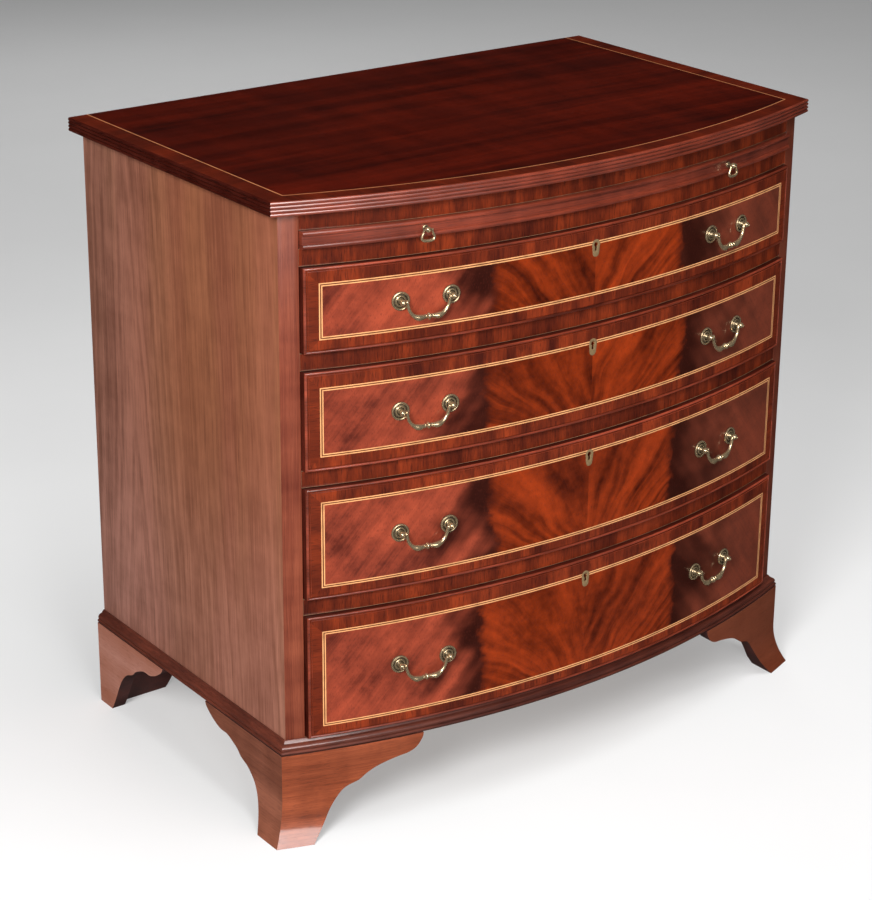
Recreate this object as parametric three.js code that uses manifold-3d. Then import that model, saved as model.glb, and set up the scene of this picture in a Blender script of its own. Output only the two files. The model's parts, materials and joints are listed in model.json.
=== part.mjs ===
// A bow-fronted chest of four long drawers under a brushing slide, on bracket feet.
// Lengths are in millimetres, +Z is up, the front faces -Y and the right-hand side is +X.
// While the pieces are made, Y is 0 at the back of the case and Z is 0 at the floor.
// At the end the whole chest is moved, so that its origin is below the middle of its box.

import * as THREE from 'three';
import { mergeVertices } from 'three/addons/utils/BufferGeometryUtils.js';
import Module from 'manifold-3d';

const wasm = await Module();
wasm.setup();
const { Vector2, Vector3 } = THREE;

// Case
const caseWidth = 829;
const caseDepth = 458.5;
const bowRise = 73.4;
const sideThickness = 23.5;
const backThickness = 10;
const backRebateWidth = 12;
const railHeight = 21.4;
const railDepth = 62;
const dustBoardThickness = 9;
const housingDepth = 6;
const slideOpening = 22.5;
const drawerOpenings = [108.2, 128.4, 148.6, 168.8];

// Top board, with reeds round its two ends and its front
const topThickness = 18.3;
const topSideReach = 14.6;
const topFrontReach = 13.5;
const topBackReach = 10.9;
const reedCount = 4;
const reedDepth = 1.7;
const reedShares = [[0, 1], [0.25, 0.25], [0.5, 0], [0.75, 0.25]];

// Base moulding, drawn from its foot upwards as shares of its reach and its height
const baseMouldingHeight = 16.5;
const baseMouldingReach = 11.3;
const baseMouldingShares = [
  [0.84, 0], [1, 0.08], [1, 0.24], [0.8, 0.32], [0.88, 0.4],
  [0.84, 0.56], [0.62, 0.7], [0.34, 0.78], [0.14, 1],
];

// Bracket feet. Each outline runs from the leg at the floor to the inner end of the wing,
// as shares of the wing's length and of the foot's height.
const footHeight = 121.6;
const footThickness = 20;
const frontWing = 182;
const sideWing = 182;
const backFootWing = 176;
const backFootRearWing = 150;
const frontFlare = 18;
const sideFlare = 17.5;
const flareHeight = 60;
const frontOutlineShares = [
  [0.146, -0.02], [0.181, 0.045], [0.222, 0.115], [0.268, 0.21], [0.313, 0.317], [0.361, 0.42], [0.41, 0.51],
  [0.457, 0.553], [0.525, 0.59], [0.58, 0.652], [0.65, 0.71], [0.736, 0.753], [0.82, 0.782], [0.893, 0.804],
  [0.95, 0.853], [0.99, 0.94], [1, 1],
];
const sideOutlineShares = [
  [0.172, -0.02], [0.222, 0.1], [0.262, 0.208], [0.297, 0.312], [0.33, 0.4], [0.36, 0.47], [0.4, 0.535],
  [0.45, 0.593], [0.527, 0.642], [0.58, 0.711], [0.645, 0.76], [0.71, 0.796], [0.79, 0.799], [0.845, 0.822],
  [0.911, 0.871], [0.978, 0.944], [1, 1],
];
const rearOutlineShares = [[0.62, -0.02], [0.66, 0.06], [0.73, 0.2], [0.82, 0.45], [0.93, 0.8], [1, 1]];

// Drawers
const drawerClearance = 1;
const drawerRunClearance = 0.5;
const drawerStopClearance = 0.6;
const drawerTopClearance = 7;
const drawerFaceProud = 8;
const drawerFrontThickness = 24;
const thumbWidth = 3.2;
const thumbDepth = 2.4;
const thumbSteps = 2;
const quirkDepth = 1;
const quirkWidth = 0.6;
const drawerWall = 10;
const drawerBottomThickness = 6;
const drawerBottomRise = 8;
const drawerGroove = 4;

// Brushing slide, a board with a moulded front edge that is hollowed between two flat bands
const slideClearance = 0.5;
const slideSideClearance = 1;
const slideBoardThickness = 14;
const slideDepth = 420;
const slideEdgeDepth = 46;
const slideProud = 8;
const slideHollow = 2.6;
const slideEdgeShares = [
  [0.6, 0], [0, 0.07], [0, 0.23], [0.6, 0.26], [1, 0.31],
  [1, 0.69], [0.6, 0.74], [0, 0.77], [0, 0.93], [0.6, 1],
];

// Drawer handles: two turned posts and a swan-neck bail between them. The outline of a post is a
// list of its radius and its reach in front of the drawer's face, from the rosette outwards.
const handleCentreX = 242.5;
const handleSpread = 67;
const handleRise = 1;
const rosetteRadius = 12;
const rosetteHeight = 2.4;
const bossRadius = 6.6;
const bossHeight = 3.4;
const neckRadius = 2.6;
const headRadius = 4;
const pivotReach = 9;
const shankRadius = 2.2;
const shankClearance = 0.4;
const nutRadius = 5.5;
const nutThickness = 4;
const shankEnd = 3;
const postSides = 8;
const ballSteps = 3;
const pinRadius = 1.7;
const pinClearance = 0.4;
const pinEnd = 2;
const bailRadius = 2.3;
const bailNeckX = 24.8;
const bailLobeX = 14;
const bailDrop = 21.4;
const bailMiddleDrop = 20.8;
const bailSides = 6;
const bailSteps = 20;
const knopRadius = 3.6;
const knopLength = 5;
const knopSides = 6;
const knopRings = 4;

// Slide pulls: a small post and a stirrup that hangs from its head
const pullCentreX = 243;
const pullRoseRadius = 3.9;
const pullRoseHeight = 1.6;
const pullNeckRadius = 1.9;
const pullHeadRadius = 3.1;
const pullPivotReach = 6.2;
const pullShankRadius = 1.8;
const pullShankLength = 22;
const stirrupRadius = 1;
const stirrupClearance = 0.35;
const stirrupTopHalf = 4.6;
const stirrupFootHalf = 8.4;
const stirrupDrop = 13.6;
const stirrupSteps = 12;

// Drawer locks, let into the back of each front, with a brass-lined keyhole in its face
const lockWidth = 58;
const lockHeight = 34;
const lockThickness = 10;
const lockLetIn = 6;
const lockTopDrop = 8;
const escutcheonDrop = 20.5;
const escutcheonHeight = 21;
const escutcheonRadius = 5.8;
const escutcheonFootRadius = 4.4;
const escutcheonThickness = 1.6;
const pipeRadius = 3.6;
const keyholeRadius = 2.6;
const keyholeSlot = 1.3;
const keyholeDepth = 9;
const pipeSides = 12;

// Shared
const gap = 0.3;
const overrun = 5;
const bowSteps = 20;
const footBowSteps = 4;
const flareSteps = 5;
const outlineSteps = 18;

const halfCase = caseWidth / 2;
const openingHalf = halfCase - sideThickness;
const bowRadius = (halfCase ** 2 + bowRise ** 2) / (2 * bowRise);
const bowCentreY = bowRadius - bowRise - caseDepth;
const backInnerY = -(backThickness + gap);
const caseFloor = footHeight + baseMouldingHeight;
const drawerBack = drawerFaceProud - drawerFrontThickness;
const slideFloor = openingFloor(-1);
const topRailFloor = slideFloor + slideOpening;
const topFloor = topRailFloor + railHeight;

function finish(color, roughness, metalness = 0) {
  return new THREE.MeshStandardMaterial({ color, roughness, metalness });
}

const finishes = {
  topMahogany: finish('#4d150e', 0.22),
  sideMahogany: finish('#7c4a34', 0.36),
  railMahogany: finish('#7a2f1c', 0.3),
  flameMahogany: finish('#8e3116', 0.26),
  footMahogany: finish('#8a4527', 0.38),
  drawerOak: finish('#b08a5c', 0.62),
  carcaseWood: finish('#8c6a45', 0.75),
  backWood: finish('#6a4c34', 0.8),
  agedBrass: finish('#8f7d52', 0.36, 1),
  lockSteel: finish('#6f6a60', 0.48, 1),
};

const chest = new THREE.Group();

// Height of the floor of a drawer's opening. Index 0 is the top drawer, -1 the brushing slide.
function openingFloor(index) {
  const below = drawerOpenings.slice(index + 1);
  return caseFloor + below.reduce((sum, height) => sum + height + railHeight, 0);
}

// The bowed front: the Y of a surface that lies an offset in front of the case's front.
function frontY(x, offset) {
  return bowCentreY - Math.sqrt((bowRadius + offset) ** 2 - x * x);
}

function frontArc(fromX, toX, offset, steps = bowSteps) {
  return Array.from({ length: steps + 1 }, (_, i) => {
    const x = THREE.MathUtils.lerp(fromX, toX, i / steps);
    return new Vector2(x, frontY(x, offset));
  });
}

function bowedOutline(halfWidth, offset, backY) {
  const front = frontArc(-halfWidth, halfWidth, offset);
  return [new Vector2(-halfWidth, backY), ...front, new Vector2(halfWidth, backY)];
}

function plate(outline, low, thickness) {
  const settings = { depth: thickness, bevelEnabled: false };
  return new THREE.ExtrudeGeometry(new THREE.Shape(outline), settings).translate(0, 0, low);
}

// Joins rings of points into one closed body. The end faces use the same triangles.
function skin(rings, endTriangles) {
  const count = rings[0].length;
  const last = (rings.length - 1) * count;
  const index = [];
  for (let start = 0; start < last; start += count) {
    for (let i = 0; i < count; i += 1) {
      const a = start + i;
      const b = start + (i + 1) % count;
      index.push(a, b, b + count, a, b + count, a + count);
    }
  }
  for (const [a, b, c] of endTriangles) {
    index.push(c, b, a, last + a, last + b, last + c);
  }
  return new THREE.BufferGeometry().setFromPoints(rings.flat()).setIndex(index);
}

// Stacks outlines, each at its own height, into one body.
function stack(levels) {
  const rings = levels.map(({ z, outline }) => outline.map((point) => new Vector3(point.x, point.y, z)));
  return skin(rings, THREE.ShapeUtils.triangulateShape(levels[0].outline, []));
}

// A bowed panel with moulded edges on all four sides, from rings that are given by their
// distance in from the edge and their offset from the case's front.
function mouldedPanel(halfWidth, low, high, edge) {
  const rings = edge.map(([inset, offset]) => {
    const arc = frontArc(inset - halfWidth, halfWidth - inset, offset);
    const lower = arc.map((point) => new Vector3(point.x, point.y, low + inset));
    const upper = arc.map((point) => new Vector3(point.x, point.y, high - inset));
    return [...lower, ...upper.reverse()];
  });
  const across = Array.from({ length: bowSteps }, (_, i) => i);
  const end = 2 * bowSteps + 1;
  const faces = across.flatMap((i) => [[i, i + 1, end - i - 1], [i, end - i - 1, end - i]]);
  return skin(rings, faces);
}

function solidOf(geometry) {
  const bare = geometry.clone();
  bare.deleteAttribute('normal');
  bare.deleteAttribute('uv');
  const merged = mergeVertices(bare);
  const vertProperties = Float32Array.from(merged.attributes.position.array);
  const triVerts = Uint32Array.from(merged.index.array);
  return new wasm.Manifold(new wasm.Mesh({ numProp: 3, vertProperties, triVerts }));
}

function geometryOf(solid) {
  const mesh = solid.getMesh();
  const geometry = new THREE.BufferGeometry();
  geometry.setAttribute('position', new THREE.BufferAttribute(mesh.vertProperties, mesh.numProp));
  return geometry.setIndex(new THREE.BufferAttribute(mesh.triVerts, 1));
}

function cut(body, ...tools) {
  return geometryOf(tools.reduce((rest, tool) => rest.subtract(solidOf(tool)), solidOf(body)));
}

function join(body, ...others) {
  return geometryOf(others.reduce((sum, other) => sum.add(solidOf(other)), solidOf(body)));
}

function mirrored(geometry) {
  const flipped = geometry.clone().scale(-1, 1, 1);
  return flipped.setIndex(Array.from(flipped.index.array).reverse());
}

function addPiece(parent, name, geometry, material) {
  const mesh = new THREE.Mesh(geometry, material);
  mesh.name = name;
  parent.add(mesh);
  return mesh;
}

// A box between two corners.
function block(low, high) {
  const size = high.clone().sub(low);
  const middle = low.clone().add(high).divideScalar(2);
  return new THREE.BoxGeometry(size.x, size.y, size.z).translate(middle.x, middle.y, middle.z);
}

// A rod that runs square to the bowed front between two offsets from it.
function frontRod(radius, angle, z, fromOffset, toOffset, sides) {
  const length = toOffset - fromOffset;
  const middle = bowRadius + (fromOffset + toOffset) / 2;
  const rod = new THREE.CylinderGeometry(radius, radius, length, sides);
  return rod.translate(0, -middle, 0).rotateZ(angle).translate(0, bowCentreY, z);
}

// Case: top board
function topBoard() {
  const reedHeight = topThickness / reedCount;
  const levels = [];
  for (let reed = 0; reed < reedCount; reed += 1) {
    for (const [rise, inset] of reedShares) {
      levels.push({ z: (reed + rise) * reedHeight, inset: inset * reedDepth });
    }
  }
  levels.push({ z: topThickness, inset: reedDepth });
  return stack(levels.map(({ z, inset }) => ({
    z: topFloor + z,
    outline: bowedOutline(halfCase + topSideReach - inset, topFrontReach - inset, topBackReach),
  })));
}

// Case: boards that run from side to side. Each has a rail in front and a thin board behind,
// whose ends are housed in the side panels.
const crossBoards = [
  ...drawerOpenings.slice(1).map((_, index) => ({
    name: `divider_${index + 1}`,
    low: openingFloor(index) - railHeight,
    boardLow: openingFloor(index) - dustBoardThickness,
  })),
  { name: 'slide_rail', low: slideFloor - railHeight, boardLow: slideFloor - dustBoardThickness },
  { name: 'top_rail', low: topRailFloor, boardLow: topRailFloor },
];
const railBackY = railDepth - caseDepth;

function crossBoard({ low, boardLow }) {
  const height = low === topRailFloor ? railHeight - gap : railHeight;
  const rail = plate(bowedOutline(openingHalf - gap, 0, railBackY), low, height);
  const boardHalf = openingHalf + housingDepth - gap;
  const tongueY = railBackY + gap;
  const board = plate([
    new Vector2(-boardHalf, backInnerY),
    new Vector2(-boardHalf, tongueY),
    new Vector2(-openingHalf + gap, tongueY),
    new Vector2(-openingHalf + gap, railBackY - overrun),
    new Vector2(openingHalf - gap, railBackY - overrun),
    new Vector2(openingHalf - gap, tongueY),
    new Vector2(boardHalf, tongueY),
    new Vector2(boardHalf, backInnerY),
  ], boardLow, dustBoardThickness);
  return join(rail, board);
}

function sidePanel() {
  const innerX = -openingHalf;
  const rebateX = innerX - backRebateWidth;
  const panel = plate([
    new Vector2(-halfCase, 0),
    new Vector2(-halfCase, frontY(halfCase, 0)),
    new Vector2(innerX, frontY(innerX, 0)),
    new Vector2(innerX, backInnerY + gap - overrun),
    new Vector2(rebateX, backInnerY + gap - overrun),
    new Vector2(rebateX, 0),
  ], footHeight, topFloor - gap - footHeight);
  const housings = crossBoards.map(({ boardLow }) => block(
    new Vector3(innerX - housingDepth, railBackY, boardLow - gap),
    new Vector3(innerX + overrun, overrun, boardLow + dustBoardThickness + gap),
  ));
  return cut(panel, ...housings);
}

function backPanel() {
  const half = openingHalf + backRebateWidth - gap;
  return block(new Vector3(-half, -backThickness, footHeight), new Vector3(half, 0, topFloor - gap));
}

function bottomBoard() {
  const outline = bowedOutline(openingHalf - gap, 0, backInnerY);
  return plate(outline, footHeight, baseMouldingHeight);
}

// Case: base moulding round the front and both sides, mitred at the corners
function baseMoulding() {
  const inner = frontArc(-halfCase - gap, halfCase + gap, gap).reverse();
  const innerPath = [new Vector2(halfCase + gap, 0), ...inner, new Vector2(-halfCase - gap, 0)];
  return stack(baseMouldingShares.map(([reachShare, riseShare]) => {
    const reach = baseMouldingReach * reachShare;
    return {
      z: footHeight + baseMouldingHeight * riseShare,
      outline: [...bowedOutline(halfCase + reach, reach, 0), ...innerPath],
    };
  }));
}

// Feet: the wings follow the base moulding's edge, and flare out near the floor
function wingCutter(shares, length, depth) {
  const corners = shares.map(([along, up]) => new Vector2(along * length, up * footHeight));
  const points = new THREE.SplineCurve(corners).getPoints(outlineSteps);
  const shape = new THREE.Shape([
    ...points,
    new Vector2(length + overrun, footHeight),
    new Vector2(length + overrun, -overrun),
    new Vector2(points[0].x, -overrun),
  ]);
  return new THREE.ExtrudeGeometry(shape, { depth, bevelEnabled: false }).rotateX(Math.PI / 2);
}

function frontFoot() {
  const cornerX = -(halfCase + baseMouldingReach);
  const cornerY = frontY(cornerX, baseMouldingReach);
  const innerX = cornerX + footThickness;
  const innerOffset = baseMouldingReach - footThickness;
  const frontEndX = cornerX + frontWing;
  const sideEndY = cornerY + sideWing;
  const heights = Array.from({ length: flareSteps + 1 }, (_, i) => flareHeight * i / flareSteps);
  const levels = [...heights, footHeight - gap].map((z) => {
    const flare = Math.max(0, 1 - z / flareHeight) ** 2;
    const outerX = cornerX - sideFlare * flare;
    const outerOffset = baseMouldingReach + frontFlare * flare;
    const outer = frontArc(outerX, frontEndX, outerOffset, footBowSteps);
    const inner = frontArc(innerX, frontEndX, innerOffset, footBowSteps).reverse();
    return { z, outline: [new Vector2(outerX, sideEndY), ...outer, ...inner, new Vector2(innerX, sideEndY)] };
  });
  const reachAcross = caseDepth + bowRise;
  const frontCutter = wingCutter(frontOutlineShares, frontWing, reachAcross);
  frontCutter.translate(cornerX, cornerY + footThickness, 0);
  const sideCutter = wingCutter(sideOutlineShares, sideWing, sideFlare + footThickness + 2 * overrun);
  sideCutter.rotateZ(Math.PI / 2).translate(cornerX - sideFlare - overrun, cornerY, 0);
  return cut(stack(levels), frontCutter, sideCutter);
}

function backFoot() {
  const cornerX = -(halfCase + baseMouldingReach);
  const innerX = cornerX + footThickness;
  const body = plate([
    new Vector2(cornerX, 0),
    new Vector2(cornerX, -backFootWing),
    new Vector2(innerX, -backFootWing),
    new Vector2(innerX, -footThickness),
    new Vector2(cornerX + backFootRearWing, -footThickness),
    new Vector2(cornerX + backFootRearWing, 0),
  ], 0, footHeight - gap);
  const depth = footThickness + 2 * overrun;
  const sideCutter = wingCutter(sideOutlineShares, backFootWing, depth);
  sideCutter.rotateZ(-Math.PI / 2).translate(innerX + overrun, 0, 0);
  const rearCutter = wingCutter(rearOutlineShares, backFootRearWing, depth).translate(cornerX, overrun, 0);
  return cut(body, sideCutter, rearCutter);
}

// Drawers
function thumbEdge() {
  const shoulder = drawerFaceProud - thumbDepth;
  const rings = [[0, drawerBack]];
  for (let i = 0; i <= thumbSteps; i += 1) {
    const turn = (Math.PI / 2) * (i / thumbSteps);
    const rise = (thumbDepth - quirkDepth) * Math.sin(turn);
    rings.push([thumbWidth * (1 - Math.cos(turn)), shoulder + rise]);
  }
  rings.push([thumbWidth + quirkWidth, drawerFaceProud]);
  return rings;
}

const panelHalf = openingHalf - drawerClearance;
const drawerRearY = -(backThickness + drawerStopClearance);
const boxInnerHalf = panelHalf - drawerWall;

function drawerBox(floor, opening) {
  const backInside = drawerRearY - drawerWall;
  const outline = [
    new Vector2(-panelHalf, drawerRearY),
    new Vector2(-panelHalf, frontY(panelHalf, drawerBack - gap)),
    new Vector2(-boxInnerHalf, frontY(boxInnerHalf, drawerBack - gap)),
    new Vector2(-boxInnerHalf, backInside),
    new Vector2(boxInnerHalf, backInside),
    new Vector2(boxInnerHalf, frontY(boxInnerHalf, drawerBack - gap)),
    new Vector2(panelHalf, frontY(panelHalf, drawerBack - gap)),
    new Vector2(panelHalf, drawerRearY),
  ];
  return plate(outline, floor + drawerRunClearance, opening - drawerTopClearance - drawerRunClearance);
}

// The drawer's bottom, or with a clearance the groove that it lies in.
function drawerBottom(floor, clearance) {
  const half = boxInnerHalf + drawerGroove - gap + clearance;
  const rearY = drawerRearY - drawerWall + drawerGroove - gap + clearance;
  const outline = bowedOutline(half, drawerBack + drawerGroove - gap + clearance, rearY);
  const low = floor + drawerRunClearance + drawerBottomRise - clearance;
  return plate(outline, low, drawerBottomThickness + 2 * clearance);
}

// Locks. With a clearance each of these shapes is the hollow that it sits in.
function lockParts(openingTop, clearance) {
  const top = openingTop - lockTopDrop;
  const letInY = frontY(0, drawerBack + lockLetIn);
  const casing = block(
    new Vector3(-lockWidth / 2 - clearance, letInY - clearance, top - lockHeight - clearance),
    new Vector3(lockWidth / 2 + clearance, letInY + lockThickness + clearance, top + clearance),
  );
  const plateTop = openingTop - escutcheonDrop;
  const upper = plateTop - escutcheonRadius;
  const lower = plateTop - escutcheonHeight + escutcheonFootRadius;
  const shape = new THREE.Shape();
  shape.absarc(0, upper, escutcheonRadius + clearance, 0, Math.PI, false);
  shape.absarc(0, lower, escutcheonFootRadius + clearance, Math.PI, 2 * Math.PI, false);
  const faceY = frontY(0, drawerFaceProud);
  const depth = escutcheonThickness + clearance + (clearance ? overrun : 0);
  const settings = { depth, bevelEnabled: false, curveSegments: pipeSides / 2 };
  const escutcheon = new THREE.ExtrudeGeometry(shape, settings).rotateX(Math.PI / 2);
  escutcheon.translate(0, faceY + escutcheonThickness + clearance, 0);
  const pipeFoot = drawerBack + lockLetIn - gap;
  const pipe = frontRod(pipeRadius + clearance, 0, upper, pipeFoot, drawerFaceProud - gap, pipeSides);
  return [casing, escutcheon, pipe];
}

function keyhole(openingTop) {
  const upper = openingTop - escutcheonDrop - escutcheonRadius;
  const slotFoot = upper - escutcheonHeight / 2;
  const slotTurn = Math.asin(keyholeSlot / keyholeRadius);
  const shape = new THREE.Shape();
  shape.absarc(0, upper, keyholeRadius, slotTurn - Math.PI / 2, 1.5 * Math.PI - slotTurn, false);
  shape.lineTo(-keyholeSlot, slotFoot);
  shape.lineTo(keyholeSlot, slotFoot);
  const settings = { depth: keyholeDepth, bevelEnabled: false, curveSegments: pipeSides / 2 };
  const cutter = new THREE.ExtrudeGeometry(shape, settings).rotateX(Math.PI / 2);
  return cutter.translate(0, frontY(0, drawerFaceProud) - overrun + keyholeDepth, 0);
}

// Handles
const faceRadius = bowRadius + drawerFaceProud;
const pivotRadius = faceRadius + pivotReach;
const handleAngle = Math.asin(handleCentreX / faceRadius);
const postTurn = Math.asin(handleSpread / 2 / pivotRadius);

// The ball at the end of a post, from its neck to its tip.
function ballOutline(radius, centre, neck) {
  const start = Math.asin(neck / radius);
  return Array.from({ length: ballSteps + 1 }, (_, i) => {
    const turn = THREE.MathUtils.lerp(start, Math.PI, i / ballSteps);
    return new Vector2(Math.max(0, radius * Math.sin(turn)), centre - radius * Math.cos(turn));
  });
}

function handlePost() {
  const nutTop = -drawerFrontThickness - gap;
  const outline = [
    new Vector2(0, nutTop - nutThickness - shankEnd),
    new Vector2(shankRadius, nutTop - nutThickness - shankEnd),
    new Vector2(shankRadius, nutTop - nutThickness),
    new Vector2(nutRadius, nutTop - nutThickness),
    new Vector2(nutRadius, nutTop),
    new Vector2(shankRadius, nutTop),
    new Vector2(shankRadius, gap),
    new Vector2(rosetteRadius, gap),
    new Vector2((rosetteRadius * 5 + bossRadius) / 6, rosetteHeight),
    new Vector2((rosetteRadius + bossRadius) / 2, rosetteHeight / 2),
    new Vector2(bossRadius, rosetteHeight / 2),
    new Vector2((bossRadius + neckRadius) / 2, bossHeight),
    new Vector2(neckRadius, bossHeight),
    ...ballOutline(headRadius, pivotReach, neckRadius),
  ];
  const post = new THREE.LatheGeometry(outline, postSides).rotateX(Math.PI);
  const boreRadius = pinRadius + pinClearance;
  const bore = new THREE.CylinderGeometry(boreRadius, boreRadius, 4 * headRadius, postSides);
  bore.rotateZ(Math.PI / 2).translate(0, -pivotReach, 0);
  return cut(post, bore).translate(0, -faceRadius, 0);
}

// A hanging curve that is alike on both sides, from its points on one side and its middle drop.
function mirroredCurve(half, middleDrop) {
  const side = (sign) => half.map(([x, z]) => new Vector3(sign * x, 0, z));
  return new THREE.CatmullRomCurve3([...side(-1), new Vector3(0, 0, -middleDrop), ...side(1).reverse()]);
}

function bail() {
  const pinX = handleSpread / 2;
  const headEdge = pinX - headRadius;
  const path = mirroredCurve([
    [pinX + pinEnd, 0],
    [pinX, 0],
    [headEdge, 0],
    [(headEdge + bailNeckX) / 2, 0],
    [bailNeckX, -2 * pinRadius],
    [bailNeckX - pinRadius / 2, -bailDrop / 2],
    [(bailNeckX + bailLobeX) / 2, bailRadius - bailDrop],
    [bailLobeX, -bailDrop],
    [bailLobeX / 2, -(bailDrop + bailMiddleDrop) / 2],
  ], bailMiddleDrop);
  const section = new THREE.Shape();
  section.absarc(0, 0, pinRadius, 0, 2 * Math.PI, false);
  const settings = { steps: bailSteps, extrudePath: path, curveSegments: bailSides / 2 };
  const rod = new THREE.ExtrudeGeometry(section, settings);
  swell(rod, pinX);
  const knop = new THREE.SphereGeometry(knopRadius, knopSides, knopRings).rotateZ(Math.PI / 2);
  knop.scale(knopLength / (2 * knopRadius), 1, 1).translate(0, 0, -bailMiddleDrop);
  return join(rod, knop);
}

// Thickens the rod below its pins, and leaves the pins round and straight.
function swell(rod, pinX) {
  const position = rod.attributes.position;
  for (let i = 0; i < position.count; i += 1) {
    const depth = THREE.MathUtils.clamp(-position.getZ(i) / bailDrop, 0, 1);
    position.setY(i, position.getY(i) * (1 + (bailRadius / pinRadius - 1) * depth));
  }
}

function addHandle(name, angle, z) {
  const handle = new THREE.Group();
  handle.position.set(0, bowCentreY, z);
  handle.rotation.z = angle;
  const left = addPiece(handle, `${name}_post_left`, handlePost(), finishes.agedBrass);
  left.rotation.z = -postTurn;
  const right = addPiece(handle, `${name}_post_right`, handlePost(), finishes.agedBrass);
  right.rotation.z = postTurn;
  const swing = addPiece(handle, `${name}_bail`, bail(), finishes.agedBrass);
  swing.position.y = -pivotRadius * Math.cos(postTurn);
  chest.add(handle);
}

function addDrawer(index) {
  const number = index + 1;
  const opening = drawerOpenings[index];
  const floor = openingFloor(index);
  const openingTop = floor + opening;
  const handleZ = floor + opening / 2 + handleRise;
  const holes = [-handleAngle, handleAngle].flatMap((centre) => [-postTurn, postTurn].map((turn) => frontRod(
    shankRadius + shankClearance,
    centre + turn,
    handleZ,
    drawerBack - overrun,
    drawerFaceProud + overrun,
    postSides,
  )));
  const panel = mouldedPanel(panelHalf, floor + drawerClearance, openingTop - drawerClearance, thumbEdge());
  const front = cut(panel, drawerBottom(floor, gap), ...lockParts(openingTop, gap), ...holes);
  addPiece(chest, `drawer_${number}_front`, front, finishes.flameMahogany);
  const box = cut(drawerBox(floor, opening), drawerBottom(floor, gap));
  addPiece(chest, `drawer_${number}_box`, box, finishes.drawerOak);
  addPiece(chest, `drawer_${number}_bottom`, drawerBottom(floor, 0), finishes.drawerOak);
  const lock = cut(join(...lockParts(openingTop, 0)), keyhole(openingTop));
  addPiece(chest, `drawer_${number}_lock`, lock, finishes.lockSteel);
  addHandle(`drawer_${number}_left_handle`, -handleAngle, handleZ);
  addHandle(`drawer_${number}_right_handle`, handleAngle, handleZ);
}

// Brushing slide
const slideHalf = openingHalf - slideSideClearance;
const slideEdgeLow = slideFloor + slideClearance;
const slideEdgeHeight = slideOpening - 2 * slideClearance;
const pullZ = slideEdgeLow + slideEdgeHeight / 2;
const pullAngle = Math.asin(pullCentreX / (bowRadius + slideProud));

function slideBoard() {
  const edge = stack(slideEdgeShares.map(([hollowShare, riseShare]) => ({
    z: slideEdgeLow + slideEdgeHeight * riseShare,
    outline: bowedOutline(slideHalf, slideProud - slideHollow * hollowShare, slideEdgeDepth - caseDepth),
  })));
  const inset = new Vector2(slideHalf, slideDepth - caseDepth);
  const board = plate([
    new Vector2(-inset.x, inset.y),
    new Vector2(-inset.x, slideEdgeDepth - caseDepth - overrun),
    new Vector2(inset.x, slideEdgeDepth - caseDepth - overrun),
    new Vector2(inset.x, inset.y),
  ], slideEdgeLow, slideBoardThickness);
  const holes = [-pullAngle, pullAngle].map((angle) => frontRod(
    pullShankRadius + gap, angle, pullZ, slideProud - pullShankLength - gap, slideProud + overrun, postSides,
  ));
  return cut(join(edge, board), ...holes);
}

function pullPost() {
  const seat = gap - slideHollow;
  const outline = [
    new Vector2(0, -pullShankLength),
    new Vector2(pullShankRadius, -pullShankLength),
    new Vector2(pullShankRadius, seat),
    new Vector2(pullRoseRadius, seat),
    new Vector2(pullRoseRadius, seat + pullRoseHeight / 2),
    new Vector2(pullNeckRadius, seat + pullRoseHeight),
    ...ballOutline(pullHeadRadius, pullPivotReach, pullNeckRadius),
  ];
  const post = new THREE.LatheGeometry(outline, postSides).rotateX(Math.PI);
  const boreRadius = stirrupRadius + stirrupClearance;
  const bore = new THREE.CylinderGeometry(boreRadius, boreRadius, 4 * pullHeadRadius, postSides);
  return cut(post, bore.rotateZ(Math.PI / 2).translate(0, -pullPivotReach, 0));
}

function stirrup() {
  const path = mirroredCurve([
    [stirrupTopHalf, 0],
    [(2 * stirrupTopHalf + stirrupFootHalf) / 3, -stirrupDrop * 0.3],
    [stirrupFootHalf, -stirrupDrop * 0.75],
    [stirrupFootHalf * 0.72, -stirrupDrop * 0.96],
  ], stirrupDrop);
  const section = new THREE.Shape();
  section.absarc(0, 0, stirrupRadius, 0, 2 * Math.PI, false);
  const settings = { steps: stirrupSteps, extrudePath: path, curveSegments: bailSides / 2 };
  const loop = new THREE.ExtrudeGeometry(section, settings);
  const barLength = 2 * (stirrupTopHalf + stirrupRadius);
  const bar = new THREE.CylinderGeometry(stirrupRadius, stirrupRadius, barLength, bailSides);
  return join(loop, bar.rotateZ(Math.PI / 2));
}

function addPull(name, angle) {
  const pull = new THREE.Group();
  pull.position.set(0, bowCentreY, pullZ);
  pull.rotation.z = angle;
  const post = addPiece(pull, `${name}_post`, pullPost(), finishes.agedBrass);
  post.position.y = -(bowRadius + slideProud);
  const ring = addPiece(pull, `${name}_ring`, stirrup(), finishes.agedBrass);
  ring.position.y = -(bowRadius + slideProud + pullPivotReach);
  chest.add(pull);
}

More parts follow.
